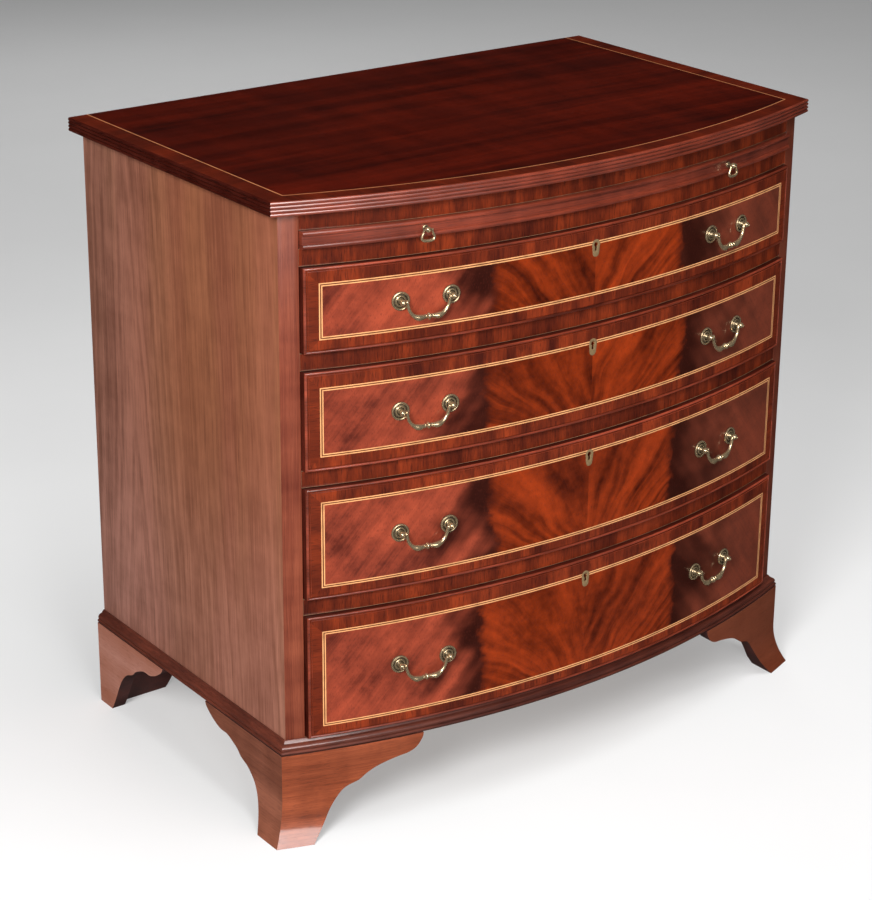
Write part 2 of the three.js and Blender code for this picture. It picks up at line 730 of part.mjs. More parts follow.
addPiece(chest, 'top', topBoard(), finishes.topMahogany);
addPiece(chest, 'side_left', sidePanel(), finishes.sideMahogany);
addPiece(chest, 'side_right', mirrored(sidePanel()), finishes.sideMahogany);
addPiece(chest, 'back_panel', backPanel(), finishes.backWood);
for (const board of crossBoards) {
  addPiece(chest, board.name, crossBoard(board), finishes.railMahogany);
}
addPiece(chest, 'bottom_board', bottomBoard(), finishes.carcaseWood);
addPiece(chest, 'base_moulding', baseMoulding(), finishes.railMahogany);
addPiece(chest, 'foot_front_left', frontFoot(), finishes.footMahogany);
addPiece(chest, 'foot_front_right', mirrored(frontFoot()), finishes.footMahogany);
addPiece(chest, 'foot_back_left', backFoot(), finishes.footMahogany);
addPiece(chest, 'foot_back_right', mirrored(backFoot()), finishes.footMahogany);
addPiece(chest, 'slide_board', slideBoard(), finishes.railMahogany);
addPull('slide_pull_left', -pullAngle);
addPull('slide_pull_right', pullAngle);
drawerOpenings.forEach((_, index) => addDrawer(index));

const box = new THREE.Box3().setFromObject(chest, true);
const middle = box.getCenter(new Vector3());
chest.position.set(-middle.x, -middle.y, -box.min.z);

export default chest;
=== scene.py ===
"""Dresses the bow-fronted chest of drawers: fine meshes, veneers, inlay, brass and a plain studio."""

import json
import math

import bmesh
import bpy
from bpy.props import FloatProperty, FloatVectorProperty, IntProperty, PointerProperty
from mathutils import Matrix, Vector

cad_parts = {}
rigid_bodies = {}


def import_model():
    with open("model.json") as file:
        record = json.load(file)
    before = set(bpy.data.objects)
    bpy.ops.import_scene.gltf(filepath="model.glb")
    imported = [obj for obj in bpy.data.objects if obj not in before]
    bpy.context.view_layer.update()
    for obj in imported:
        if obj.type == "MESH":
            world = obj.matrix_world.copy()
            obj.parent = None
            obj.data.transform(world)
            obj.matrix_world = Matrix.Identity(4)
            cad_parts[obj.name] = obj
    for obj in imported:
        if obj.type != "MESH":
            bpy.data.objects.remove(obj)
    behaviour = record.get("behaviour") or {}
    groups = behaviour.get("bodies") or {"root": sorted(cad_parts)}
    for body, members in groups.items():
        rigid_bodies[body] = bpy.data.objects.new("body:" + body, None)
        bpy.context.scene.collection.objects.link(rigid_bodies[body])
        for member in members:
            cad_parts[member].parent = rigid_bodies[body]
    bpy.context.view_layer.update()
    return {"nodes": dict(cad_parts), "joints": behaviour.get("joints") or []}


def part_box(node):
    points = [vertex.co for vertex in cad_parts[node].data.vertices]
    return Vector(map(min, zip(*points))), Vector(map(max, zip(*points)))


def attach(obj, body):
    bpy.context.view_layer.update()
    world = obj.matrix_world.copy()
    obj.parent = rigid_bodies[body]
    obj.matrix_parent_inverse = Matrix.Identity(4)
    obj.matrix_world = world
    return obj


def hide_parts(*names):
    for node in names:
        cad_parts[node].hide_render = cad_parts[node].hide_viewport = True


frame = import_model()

bl_info = {
    "name": "Bow front chest of drawers",
    "version": (1, 0, 0),
    "blender": (4, 5, 0),
    "location": "3D View > Sidebar > Chest",
    "description": "Makes the visible pieces of a bow front mahogany chest around its solid model",
    "category": "Object",
}

DRAWERS = (1, 2, 3, 4)
SIDES = (("left", -1), ("right", 1))
X, Y, Z = 0, 1, 2
# Distances that count as nothing: between two places, and between a cut and a vertex
TINY = 1e-6
HAIR = 1e-7
# The faces of the drawers and the slide's edge stand this far in front of the case
PROUD = 0.008


def low(node):
    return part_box(node)[0]


def high(node):
    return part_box(node)[1]


# The bow is an arc round a centre behind the chest. Its sag over the opening's half width gives its radius.
OPENING_HALF = -high("side_left").x
CASE_HALF = -low("side_left").x
BACK_Y = high("side_left").y
FRONT_Y = low("bottom_board").y
BOW_SAG = low("side_left").y - FRONT_Y
BOW_RADIUS = (OPENING_HALF**2 + BOW_SAG**2) / (2 * BOW_SAG)
BOW_CENTRE_Y = FRONT_Y + BOW_RADIUS
# Middle of the side veneer's leaf whose figure runs up to a point
SIDE_LEAF = BACK_Y * 0.62


def front_y(x, offset=0.0):
    """The Y of the bowed front, or of a surface that lies an offset in front of it."""
    return BOW_CENTRE_Y - math.sqrt((BOW_RADIUS + offset) ** 2 - x * x)


def stance(name):
    """The place of a fitting's joint, turned about the upright axis to stand square to the bow."""
    pivot = next(joint for joint in frame["joints"] if joint["name"] == name)
    turn = math.atan2(-pivot["axis"][1], -pivot["axis"][0])
    return Matrix.Translation(pivot["pos_m"]) @ Matrix.Rotation(turn, 4, "Z")


def metres(name, description, value):
    return FloatProperty(name=name, description=description, default=value, unit="LENGTH")


def degrees(name, description, value):
    return FloatProperty(name=name, description=description, default=math.radians(value), subtype="ANGLE")


def colour(name, description, value):
    return FloatVectorProperty(
        name=name, description=description, default=value, size=3, subtype="COLOR", min=0, max=1
    )


class ChestSizes(bpy.types.PropertyGroup):
    bow_slices: IntProperty(
        name="Bow slices", description="Slices across the width of a bowed piece", default=48, min=8
    )
    eased_edge: metres("Eased edge", "Rounding of a sawn and sanded edge", 0.0006)
    bead_width: metres("Edge bead width", "Width of the bead round a drawer front", 0.0032)
    bead_height: metres("Edge bead height", "Rise of the bead round a drawer front", 0.0016)
    quirk_width: metres("Quirk width", "Width of the groove inside the bead", 0.0014)
    quirk_depth: metres("Quirk depth", "Depth of the groove inside the bead", 0.0012)
    light_line: metres("Boxwood line", "Width of one boxwood line of the double stringing", 0.0014)
    dark_line: metres("Dark line", "Width of the dark line between the boxwood lines", 0.0014)
    string_inset: metres("String inset", "Middle of the double string from a drawer front's ends", 0.0192)
    top_string: metres("Top string", "Width of the single boxwood line on the top", 0.0018)
    top_string_side: metres("Top string side inset", "Middle of the top's line from the side edges", 0.0278)
    top_string_front: metres("Top string front inset", "Middle of the top's line from the front edge", 0.0253)
    reed_depth: metres("Reed depth", "Depth of the quirks between the reeds of the top", 0.0017)
    rail_depth: metres("Rail depth", "A rail's depth behind the corner of the case", 0.062)
    dust_board: metres("Dust board", "Thickness of the boards between the drawers", 0.009)
    drawer_side: metres("Drawer side", "Thickness of a drawer's sides and back", 0.010)
    foot_thickness: metres("Foot thickness", "Thickness of the foot brackets", 0.020)
    front_flare: metres("Front flare", "How far a front foot splays forwards at the floor", 0.018)
    flare_height: metres("Flare height", "Height at which a front foot starts to splay", 0.060)


class ChestColours(bpy.types.PropertyGroup):
    top_dark: colour("Top, dark", "Dark bands of the top's mahogany", (0.018, 0.0014, 0.0006))
    top_light: colour("Top, light", "Light bands of the top's mahogany", (0.098, 0.0066, 0.0014))
    side_dark: colour("Side, dark", "Dark bands of the side veneer", (0.112, 0.036, 0.019))
    side_light: colour("Side, light", "Light bands of the side veneer", (0.264, 0.094, 0.051))
    side_red: colour("Side, red", "Redder side veneer by the front", (0.235, 0.072, 0.037))
    side_olive: colour("Side, olive", "Hue of the browner stripes of the side veneer", (0.232, 0.092, 0.040))
    # Painted sheen: the paler, greyer side veneer near the floor and towards the back, also the light colour
    # of the back feet's sides, stands for the floor's light mirrored in the polish
    side_faded: colour("Side, faded", "Paler side veneer near the floor", (0.405, 0.188, 0.142))
    band_dark: colour("Crossbanding, dark", "Dark stripes of the crossbanding", (0.050, 0.0075, 0.004))
    band_light: colour("Crossbanding, light", "Light stripes of the crossbanding", (0.235, 0.032, 0.008))
    flame_dark: colour("Flame, dark", "Dark feathers of the flame veneer", (0.034, 0.0036, 0.0008))
    flame_light: colour("Flame, light", "Bright feathers of the flame veneer", (0.370, 0.041, 0.0045))
    plain_dark: colour("Plain veneer, dark", "Dark figure beside the flame", (0.085, 0.014, 0.008))
    plain_light: colour("Plain veneer, light", "Light figure beside the flame", (0.330, 0.056, 0.025))
    foot_dark: colour("Foot front, dark", "Dark grain of the feet's fronts", (0.110, 0.022, 0.008))
    foot_light: colour("Foot front, light", "Light grain of the feet's fronts", (0.360, 0.084, 0.031))
    foot_side_dark: colour("Foot side, dark", "Dark grain of the feet's sides", (0.110, 0.032, 0.017))
    foot_side_light: colour("Foot side, light", "Light grain of the feet's sides", (0.270, 0.090, 0.050))
    boxwood: colour("Boxwood", "The light lines of the stringing", (0.720, 0.345, 0.145))
    string_dark: colour("String, dark", "The dark line of the stringing", (0.120, 0.030, 0.010))
    oak_dark: colour("Oak, dark", "Dark grain of the drawer linings", (0.240, 0.140, 0.070))
    oak_light: colour("Oak, light", "Light grain of the drawer linings", (0.420, 0.270, 0.145))
    carcase_dark: colour("Carcase, dark", "Dark grain of the unseen boards", (0.140, 0.070, 0.035))
    carcase_light: colour("Carcase, light", "Light grain of the unseen boards", (0.290, 0.165, 0.085))
    brass_light: colour("Brass, rubbed", "Rubbed high spots of the brass", (0.510, 0.380, 0.225))
    plate: colour("Keyhole plate", "Flat brass of the keyhole plates", (0.300, 0.200, 0.100))
    moulding_dark: colour("Moulding, dark", "Dark grain of the base moulding", (0.030, 0.007, 0.005))
    moulding_light: colour("Moulding, light", "Light grain of the base moulding", (0.150, 0.036, 0.020))
    brass_dark: colour("Brass, toned", "Tarnish in the brass's hollows", (0.048, 0.036, 0.024))
    floor: colour("Floor", "The studio's floor", (0.55, 0.55, 0.55))

    def pair(self, wood):
        """The dark and the light colour of one wood or metal."""
        return getattr(self, f"{wood}_dark"), getattr(self, f"{wood}_light")


class ChestStudio(bpy.types.PropertyGroup):
    azimuth: degrees("Azimuth", "Turn of the camera round the chest, to its left", 36.79)
    elevation: degrees("Elevation", "Angle from which the camera looks down", 20.58)
    roll: degrees("Roll", "Tilt of the camera about its line of sight", 0.45)
    distance: metres("Distance", "Camera to its target", 3.2522)
    target: FloatVectorProperty(
        name="Target", description="Point that the camera looks at",
        default=(-0.0357, 0.0073, 0.4718), subtype="TRANSLATION",
    )
    focal: FloatProperty(
        name="Focal length", description="Focal length as a share of the picture's long side",
        default=2408.69 / 900,
    )
    shift: FloatProperty(
        name="Shift", description="Shift of the picture as a share of its long side", default=-0.075
    )


def sign(operation):
    """The two methods of a sign, for a Number on its left and a Number on its right."""

    def forward(self, other):
        return self.maker.math(operation, self, other)

    def reflected(self, other):
        return self.maker.math(operation, other, self)

    return forward, reflected


class Number:
    """A shader value that can be used in Python arithmetic."""

    def __init__(self, maker, socket):
        self.maker = maker
        self.socket = socket

    __add__, __radd__ = sign("ADD")
    __sub__, __rsub__ = sign("SUBTRACT")
    __mul__, __rmul__ = sign("MULTIPLY")
    __truediv__, __rtruediv__ = sign("DIVIDE")
    __pow__, __rpow__ = sign("POWER")
    __gt__, __lt__ = sign("GREATER_THAN")

    def __abs__(self):
        return self.maker.math("ABSOLUTE", self)


class Nodes:
    """Makes and links the nodes of one tree."""

    def __init__(self, tree):
        self.tree = tree

    def node(self, kind, settings=None, values=None):
        """A node with its settings, and with a value or a link at each named input."""
        made = self.tree.nodes.new(kind)
        for key, value in (settings or {}).items():
            setattr(made, key, value)
        for key, value in (values or {}).items():
            socket, source = made.inputs[key], getattr(value, "socket", value)
            if isinstance(source, bpy.types.NodeSocket):
                self.tree.links.new(source, socket)
            else:
                socket.default_value = (*source, 1.0) if socket.type == "RGBA" else source
        return made


class Finish(Nodes):
    """A material under construction. Its patterns are functions of the place on the object."""

    def __init__(self, name):
        self.material = bpy.data.materials.new(name)
        self.material.use_nodes = True
        super().__init__(self.material.node_tree)
        self.tree.nodes.clear()
        place = self.node("ShaderNodeTexCoord").outputs["Object"]
        parts = self.node("ShaderNodeSeparateXYZ", values={"Vector": place})
        self.x, self.y, self.z = (Number(self, parts.outputs[i]) for i in range(3))

    def axes(self, names):
        return [getattr(self, name) for name in names]

    def math(self, operation, *values):
        made = self.node("ShaderNodeMath", {"operation": operation}, dict(enumerate(values)))
        return Number(self, made.outputs[0])

    def noise(self, x, y, z=0.0, detail=2.0, roughness=0.5):
        """Soft noise with one bump to each unit, from 0 to 1."""
        place = self.node("ShaderNodeCombineXYZ", values={0: x, 1: y, 2: z}).outputs[0]
        values = {"Vector": place, "Scale": 1.0, "Detail": detail, "Roughness": roughness}
        return Number(self, self.node("ShaderNodeTexNoise", values=values).outputs[0])

    def step(self, value, start, end, out_start=0.0, out_end=1.0):
        """Goes smoothly from one number to another while a value goes from start to end."""
        values = {0: value, 1: start, 2: end, 3: out_start, 4: out_end}
        made = self.node("ShaderNodeMapRange", {"interpolation_type": "SMOOTHSTEP"}, values)
        return Number(self, made.outputs[0])

    def ramp(self, value, *stops):
        """A colour that runs through stops, each of a place and a colour."""
        made = self.node("ShaderNodeValToRGB", values={0: value})
        elements = made.color_ramp.elements
        while len(elements) < len(stops):
            elements.new(1.0)
        for element, (place, tone) in zip(elements, stops):
            element.position = place
            element.color = (*tone, 1.0)
        return made.outputs[0]

    def mix(self, share, first, second, blend="MIX"):
        settings = {"data_type": "RGBA", "blend_type": blend}
        made = self.node("ShaderNodeMix", settings, {0: share, 6: first, 7: second})
        return made.outputs[2]

    def bump(self, height, depth, before=None):
        """A bump whose height runs over a depth in metres."""
        values = {"Strength": 1.0, "Distance": depth, "Height": height}
        if before is not None:
            values["Normal"] = before
        return self.node("ShaderNodeBump", values=values).outputs[0]

    def done(self, **values):
        """Ends the material in one glossy shader with these inputs."""
        named = {key.replace("_", " "): value for key, value in values.items()}
        shader = self.node("ShaderNodeBsdfPrincipled", values=named)
        self.node("ShaderNodeOutputMaterial", values={"Surface": shader.outputs[0]})
        return self.material


def between(first, second, share):
    return tuple(a + (b - a) * share for a, b in zip(first, second))


def dimmed(tone, share):
    return tuple(part * share for part in tone)


def polished(
    finish, tone, hollow, coat=0.55, roughness=0.34, coat_roughness=0.09, wave=0.00006, gloss=0.08,
    relief=0.00003,
):
    """French polish over a coloured wood. Hollow is 1 in an open pore."""
    x, y, z = finish.x, finish.y, finish.z
    smear = finish.noise(x * 9, y * 9, z * 9, detail=3)
    swell = finish.noise(x * 16, y * 16, z * 16, detail=1)
    normal = finish.bump(1 - hollow, relief, finish.bump(swell, wave))
    return finish.done(
        Base_Color=tone,
        Roughness=finish.step(smear, 0.3, 0.75, roughness - 0.04, roughness + 0.08) + hollow * 0.12,
        Coat_Weight=finish.step(smear, 0.25, 0.8, coat + 0.1, coat - 0.1),
        Coat_Roughness=coat_roughness,
        Specular_IOR_Level=gloss,
        Normal=normal,
    )


def straight_grain(
    finish, along, across, depth, dark, light, seed, bands=34.0, fibres=620.0, figure=0.22, pores=0.55
):
    """Mahogany with straight grain. Returns its tone and where its pores are open."""
    drift = finish.noise(along * 2.2, across * 5, depth * 5 + seed, detail=2)
    line = across + drift * 0.012
    broad = finish.noise(along * 1.6, line * bands, depth * 8 + seed, detail=3, roughness=0.55)
    fine = finish.noise(along * 9, line * fibres, depth * 60 + seed, detail=2, roughness=0.6)
    ripple = finish.noise(along * 26, across * 7, depth * 7 + seed, detail=2)
    pore = finish.noise(along * 85, line * 1500, depth * 300 + seed, detail=0)
    shade = broad * (0.72 - figure) + fine * 0.28 + ripple * figure
    open_pore = finish.step(pore, 0.60, 0.72)
    middle = between(dark, light, 0.45)
    tone = finish.ramp(shade, (0.34, dark), (0.5, middle), (0.66, light))
    deep = dimmed(dark, 0.35)
    return finish.mix(open_pore * pores, tone, deep), open_pore


def plain_wood(name, axes, dark, light, seed, figure=0.22, pores=0.55, **polish):
    """A material of straight grained mahogany, whose grain runs along the first of three axes."""
    finish = Finish(name)
    tone, hollow = straight_grain(
        finish, *finish.axes(axes), dark, light, seed, figure=figure, pores=pores
    )
    return polished(finish, tone, hollow, **polish)


def moulded_wood(name, dark, light, seed, coat, coat_roughness, gloss):
    """A material of a narrow moulding, polished so evenly that its highlights stay whole."""
    return plain_wood(
        name, "xzy", dark, light, seed, pores=0.3, coat=coat, coat_roughness=coat_roughness,
        gloss=gloss, wave=0.00001, relief=0.000005,
    )


def dry_wood(name, axes, dark, light, seed, bands=26.0):
    """A material of sawn and planed wood without polish."""
    finish = Finish(name)
    tone, hollow = straight_grain(
        finish, *finish.axes(axes), dark, light, seed, bands, fibres=420.0, figure=0.1
    )
    dust = finish.noise(finish.x * 14, finish.y * 14, finish.z * 14 + seed, detail=4)
    tone = finish.mix(finish.step(dust, 0.45, 0.8, 0.0, 0.35), tone, dark)
    return finish.done(
        Base_Color=tone,
        Roughness=finish.step(dust, 0.3, 0.7, 0.62, 0.8),
        Normal=finish.bump(1 - hollow, 0.00012),
    )


def side_wood(name, colours, seed):
    """Quiet upright veneer, with one leaf whose figure runs up to a point."""
    finish = Finish(name)
    y, z = finish.y, finish.z
    drift = finish.noise(y * 5, z * 1.5, seed, detail=2) - 0.5
    across = y - SIDE_LEAF + drift * 0.05
    arch = (across * across + 0.0004) ** 0.5 * 1.5 + z * 0.09
    figure = finish.noise(arch * 76, z * 0.7, seed + 1, detail=3, roughness=0.6)
    fibre = finish.noise(y * 640, z * 9, seed + 2, detail=2)
    mottle = finish.noise(y * 26, z * 20, seed + 3, detail=3, roughness=0.6)
    cloud = finish.noise(y * 7, z * 1.4, seed + 4, detail=1)
    shade = figure * 0.32 + fibre * 0.30 + mottle * 0.20 + cloud * 0.18
    dark, light = colours.side_dark, colours.side_light
    tone = finish.ramp(shade, (0.41, dark), (0.59, light))
    hue = finish.noise(y * 11, z * 1.1, seed + 6, detail=1)
    tone = finish.mix(finish.step(hue, 0.42, 0.62, 0.0, 0.70), tone, colours.side_olive, "COLOR")
    red = finish.step(y, 0.02, SIDE_LEAF, 0.35, 0.0)
    tone = finish.mix(red, tone, colours.side_red)
    # Painted sheen: towards the floor and towards the back the veneer is mixed to a paler, greyer copy,
    # standing for the floor's light mirrored in the polish
    sheen_tone = finish.ramp(
        shade, (0.41, between(dark, colours.side_faded, 0.35)), (0.59, colours.side_faded)
    )
    painted_sheen = finish.step(z, 0.10, 0.55, 0.50, 0.0) + finish.step(y, 0.0, BACK_Y, 0.0, 0.50)
    tone = finish.mix(painted_sheen, tone, sheen_tone)
    hollow = finish.step(finish.noise(y * 1500, z * 60, seed + 5, detail=1), 0.60, 0.72)
    tone = finish.mix(hollow * 0.16, tone, dimmed(dark, 0.4))
    return polished(finish, tone, hollow, coat=0.3, roughness=0.42)


def crossbanding(name, run, grain, seed, colours, spread=0.13):
    """Short pieces of veneer laid side by side, with the grain across the band."""
    finish = Finish(name)
    along, across = finish.axes(run + grain)
    other = finish.y * 3 + seed
    stripe = finish.noise(along * 46, across * 9, other, detail=3, roughness=0.6)
    broad = finish.noise(along * 11, across * 4, other + 5, detail=1)
    fine = finish.noise(along * 420, across * 22, other + 9, detail=2)
    pore = finish.noise(along * 1100, across * 90, other + 2, detail=0)
    shade = stripe * 0.56 + broad * 0.26 + fine * 0.18
    dark, light = colours.band_dark, colours.band_light
    tone = finish.ramp(
        shade, (0.49 - spread, dark), (0.49, between(dark, light, 0.36)),
        (0.49 + spread, light),
    )
    hollow = finish.step(pore, 0.6, 0.72)
    tone = finish.mix(hollow * 0.45, tone, dimmed(dark, 0.4))
    return polished(finish, tone, hollow)


def flame_veneer(name, floor_z, seed, patch, leaf_tones, colours):
    """Two leaves of flame mahogany, opened like a book about the middle of a drawer front."""
    finish = Finish(name)
    reach = abs(finish.x)
    leaf = finish.x > 0
    rise = finish.z - floor_z
    mottle = finish.noise(finish.x * 75, finish.z * 75, seed + 10, detail=3, roughness=0.6)
    sway = finish.noise(reach * 9, rise * 9, leaf * 3 + seed, detail=2) - 0.5
    height = rise * 5 + 0.5
    fan = (reach + sway * 0.060 + 0.03) / height ** 1.35
    plume = finish.noise(fan * 13, height * 1.5, seed + 1, detail=2)
    feather = finish.noise(fan * (28 + leaf * 12), height * 1.6, leaf * 5 + seed + 2, detail=2)
    hair = finish.noise(fan * 260, height * 6, seed + 3, detail=2)
    shade = plume * 0.38 + feather * 0.37 + hair * 0.07 + mottle * 0.18
    left, right = leaf_tones
    shade = shade + leaf * (right - left) + left - finish.step(reach, 0.0, 0.07, 0.022, 0.0)
    dark, light = colours.flame_dark, colours.flame_light
    flame = finish.ramp(
        shade, (0.35, dark), (0.45, between(dark, light, 0.24)),
        (0.56, between(dark, light, 0.60)), (0.68, light),
    )
    lean = reach + finish.z * 0.8
    stripe = finish.noise(lean * 30 + mottle * 0.3, (finish.z - reach) * 3, seed + 4, detail=1)
    grain = finish.noise(lean * 280, (finish.z - reach) * 12, seed + 5, detail=2)
    cloud = finish.noise(finish.x * 13, finish.z * 15, seed + 6, detail=2)
    quiet = stripe * 0.30 + grain * 0.14 + cloud * 0.36 + mottle * 0.20
    dark, light = colours.plain_dark, colours.plain_light
    plain = finish.ramp(
        quiet, (0.38, dark), (0.49, between(dark, light, 0.5)), (0.62, light)
    )
    wave = finish.noise(finish.z * 13, seed + 7.0, leaf * 4, detail=1) - 0.5
    tooth = finish.noise(finish.z * 85, reach * 20, seed + 8, detail=2) - 0.5
    edge = reach - patch + wave * 0.05 + tooth * 0.016
    drift = (cloud - 0.5) * 0.16 + (stripe - 0.5) * 0.10
    murk = finish.step(edge + drift, 0.0, leaf * 0.05 + 0.095, 1.0, 0.0)
    # Painted shade: the plain veneer of the right leaf is mixed darker and browner, as the light falls from
    # the left
    plain = finish.mix(leaf * 0.62, plain, between(dark, colours.side_dark, 0.6))
    plain = finish.mix(murk * 0.94, plain, dimmed(dark, 0.22))
    tone = finish.mix(finish.step(edge + (mottle - 0.5) * 0.03, -0.012, 0.007), flame, plain)
    pore = finish.noise(finish.x * 900, finish.z * 240, seed + 9, detail=0)
    hollow = finish.step(pore, 0.62, 0.74)
    tone = finish.mix(hollow * 0.35, tone, dark)
    return polished(finish, tone, hollow, coat=0.4)


def inlay_line(name, tint):
    """Hard, even wood of an inlaid line, a little stained by the polish."""
    finish = Finish(name)
    stain = finish.noise(finish.x * 60, finish.y * 60, finish.z * 60, detail=3)
    deep = dimmed(tint, 0.62)
    tone = finish.mix(finish.step(stain, 0.35, 0.8, 0.0, 0.8), tint, deep)
    return polished(finish, tone, finish.step(stain, 0.7, 0.8))


def brass(name, dark, light, seed, shine=1.0, lift=0.0, metal=0.8):
    """Old brass, rubbed bright on the round parts and toned dark in the hollows."""
    finish = Finish(name)
    x, y, z = finish.x, finish.y, finish.z
    bend = Number(finish, finish.node("ShaderNodeNewGeometry").outputs["Pointiness"])
    spots = finish.noise(x * 420, y * 420, z * 420 + seed, detail=4, roughness=0.6)
    cloud = finish.noise(x * 90, y * 90, z * 90 + seed, detail=2)
    rubbed = finish.step(bend + spots * 0.08 + cloud * 0.08, 0.50 - lift, 0.62 - lift)
    middle = between(dark, light, 0.48)
    tone = finish.ramp(rubbed * shine, (0.0, dark), (0.45, middle), (1.0, light))
    return finish.done(
        Base_Color=tone,
        Metallic=metal,
        Roughness=finish.step(rubbed, 0.0, 1.0, 0.44, 0.24),
        Normal=finish.bump(spots, 0.00005),
    )


def everything(bm):
    return bm.verts[:] + bm.edges[:] + bm.faces[:]


def block(lowest, highest, bm=None):
    """A block between two corners, in a mesh of its own or added to another."""
    bm = bmesh.new() if bm is None else bm
    lowest, highest = Vector(lowest), Vector(highest)
    size = Matrix.Diagonal((*(highest - lowest), 1))
    bmesh.ops.create_cube(bm, size=1, matrix=Matrix.Translation((lowest + highest) / 2) @ size)
    return bm


def extruded(bm, faces, shift):
    """Extrudes faces along a shift and returns the faces at its end."""
    grown = bmesh.ops.extrude_face_region(bm, geom=faces)["geom"]
    moved = [part for part in grown if isinstance(part, bmesh.types.BMVert)]
    bmesh.ops.translate(bm, vec=shift, verts=moved)
    return [part for part in grown if isinstance(part, bmesh.types.BMFace)]


def prism(points, shift):
    """A solid between a face with these corners and its copy at the end of a shift."""
    bm = bmesh.new()
    extruded(bm, [bm.faces.new([bm.verts.new(point) for point in points])], shift)
    return bm


def paint(bm, pick):
    """Gives each face the material slot that a function picks for it."""
    for face in bm.faces:
        face.material_index = pick(face)


def mirror(bm, side):
    """Mirrors a piece from left to right, or back, where side is -1."""
    bmesh.ops.scale(bm, vec=(side, 1, 1), verts=bm.verts[:])


def slice_at(bm, axis, places):
    """Adds edges all round a mesh where it crosses these places along an axis."""
    normal = Vector((axis == X, axis == Y, axis == Z))
    for place in places:
        bmesh.ops.bisect_plane(
            bm, geom=everything(bm), dist=HAIR, plane_co=normal * place, plane_no=normal
        )


def slice_corner(bm, corner, direction, inside):
    """Cuts the faces that a test picks, along a slanting line in the XZ or XY plane."""
    faces = [face for face in bm.faces if inside(face)]
    edges = {edge for face in faces for edge in face.edges}
    verts = {vert for face in faces for vert in face.verts}
    bmesh.ops.bisect_plane(
        bm, geom=[*verts, *edges, *faces], dist=HAIR, plane_co=corner, plane_no=direction
    )


def spaced(start, end, count):
    """The places between start and end that cut the stretch into count equal parts."""
    return [start + (end - start) * i / count for i in range(1, count)]


def bow(verts):
    """Bends a straight front to the bow. In front of the case Y is negative before the bend."""
    for vert in verts:
        vert.co.y = front_y(vert.co.x, -vert.co.y)


def ease(bm, width, segments=2, angle=50):
    """Rounds the edges of a mesh that are sharper than an angle in degrees."""
    sharp = [
        edge for edge in bm.edges
        if len(edge.link_faces) == 2 and edge.calc_face_angle() > math.radians(angle)
    ]
    bmesh.ops.bevel(
        bm, geom=sharp, offset=width, offset_type="OFFSET", affect="EDGES", segments=segments,
        profile=0.5, material=-1, clamp_overlap=True,
    )


def join(bm, other):
    """Adds another mesh to this one and frees it."""
    mesh = bpy.data.meshes.new("joined")
    other.to_mesh(mesh)
    other.free()
    bm.from_mesh(mesh)
    bpy.data.meshes.remove(mesh)


def add_object(bm, name, materials):
    """Turns a bmesh into an object of the scene."""
    mesh = bpy.data.meshes.new(name)
    bm.to_mesh(mesh)
    bm.free()
    for material in materials:
        mesh.materials.append(material)
    made = bpy.data.objects.new(name, mesh)
    bpy.context.scene.collection.objects.link(made)
    return made


# An edge of such a piece looks smooth where it turns by less than this many degrees
BOARD_ANGLE = 35
MOULDED_ANGLE = 28
ROD_ANGLE = 60


def finish_piece(bm, name, body, materials, replaces=(), smooth=BOARD_ANGLE):
    """Turns a bmesh into a named piece that rides on a body and stands for CAD nodes."""
    bmesh.ops.recalc_face_normals(bm, faces=bm.faces[:])
    piece = add_object(bm, name, materials)
    piece.data.shade_smooth()
    piece.data.set_sharp_from_angle(angle=math.radians(smooth))
    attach(piece, body)
    if replaces:
        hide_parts(*replaces)


def dress(node, material):
    """Gives a CAD node its material."""
    materials = frame["nodes"][node].data.materials
    materials.clear()
    materials.append(material)


def arc(radius, reach, size, start, end, steps=6):
    """Points of a round part of an outline, between two angles in degrees."""
    turns = [math.radians(start + (end - start) * i / steps) for i in range(steps + 1)]
    return [(radius + size * math.cos(turn), reach + size * math.sin(turn)) for turn in turns]


def turned(rows, sides):
    """A piece turned about the Y axis. A row is a radius and a reach to the front, or an arc's arguments."""
    outline = []
    for row in rows:
        outline += [row] if len(row) == 2 else arc(*row)
    outline[-1] = (0.0, outline[-1][1])
    bm = bmesh.new()
    verts = [bm.verts.new((radius, -reach, 0)) for radius, reach in outline]
    edges = [bm.edges.new(pair) for pair in zip(verts, verts[1:])]
    bmesh.ops.spin(
        bm, geom=verts + edges, cent=(0, 0, 0), axis=(0, 1, 0), angle=2 * math.pi, steps=sides,
        use_merge=True,
    )
    bmesh.ops.remove_doubles(bm, verts=bm.verts[:], dist=TINY)
    return bm


def rod(path, radii, sides):
    """A round rod along a path in the XZ plane, with its own radius at each point."""
    bm = bmesh.new()
    ring = bmesh.ops.create_circle(bm, segments=sides, radius=1, cap_ends=True)["verts"]
    rings = [ring]
    for _ in path[1:]:
        face = next(face for face in bm.faces if set(face.verts) == set(rings[-1]))
        grown = bmesh.ops.extrude_discrete_faces(bm, faces=[face])["faces"][0]
        rings.append(list(grown.verts))
    start = {vert: vert.co.copy() for vert in ring}
    for i, (place, radius) in enumerate(zip(path, radii)):
        before, after = path[max(0, i - 1)], path[min(len(path) - 1, i + 1)]
        along = (after - before).normalized()
        across = Vector((along.z, 0, -along.x))
        for vert, first in zip(rings[i], rings[0]):
            unit = start[first]
            vert.co = place + (across * unit.x + Vector((0, 1, 0)) * unit.y) * radius
    return bm


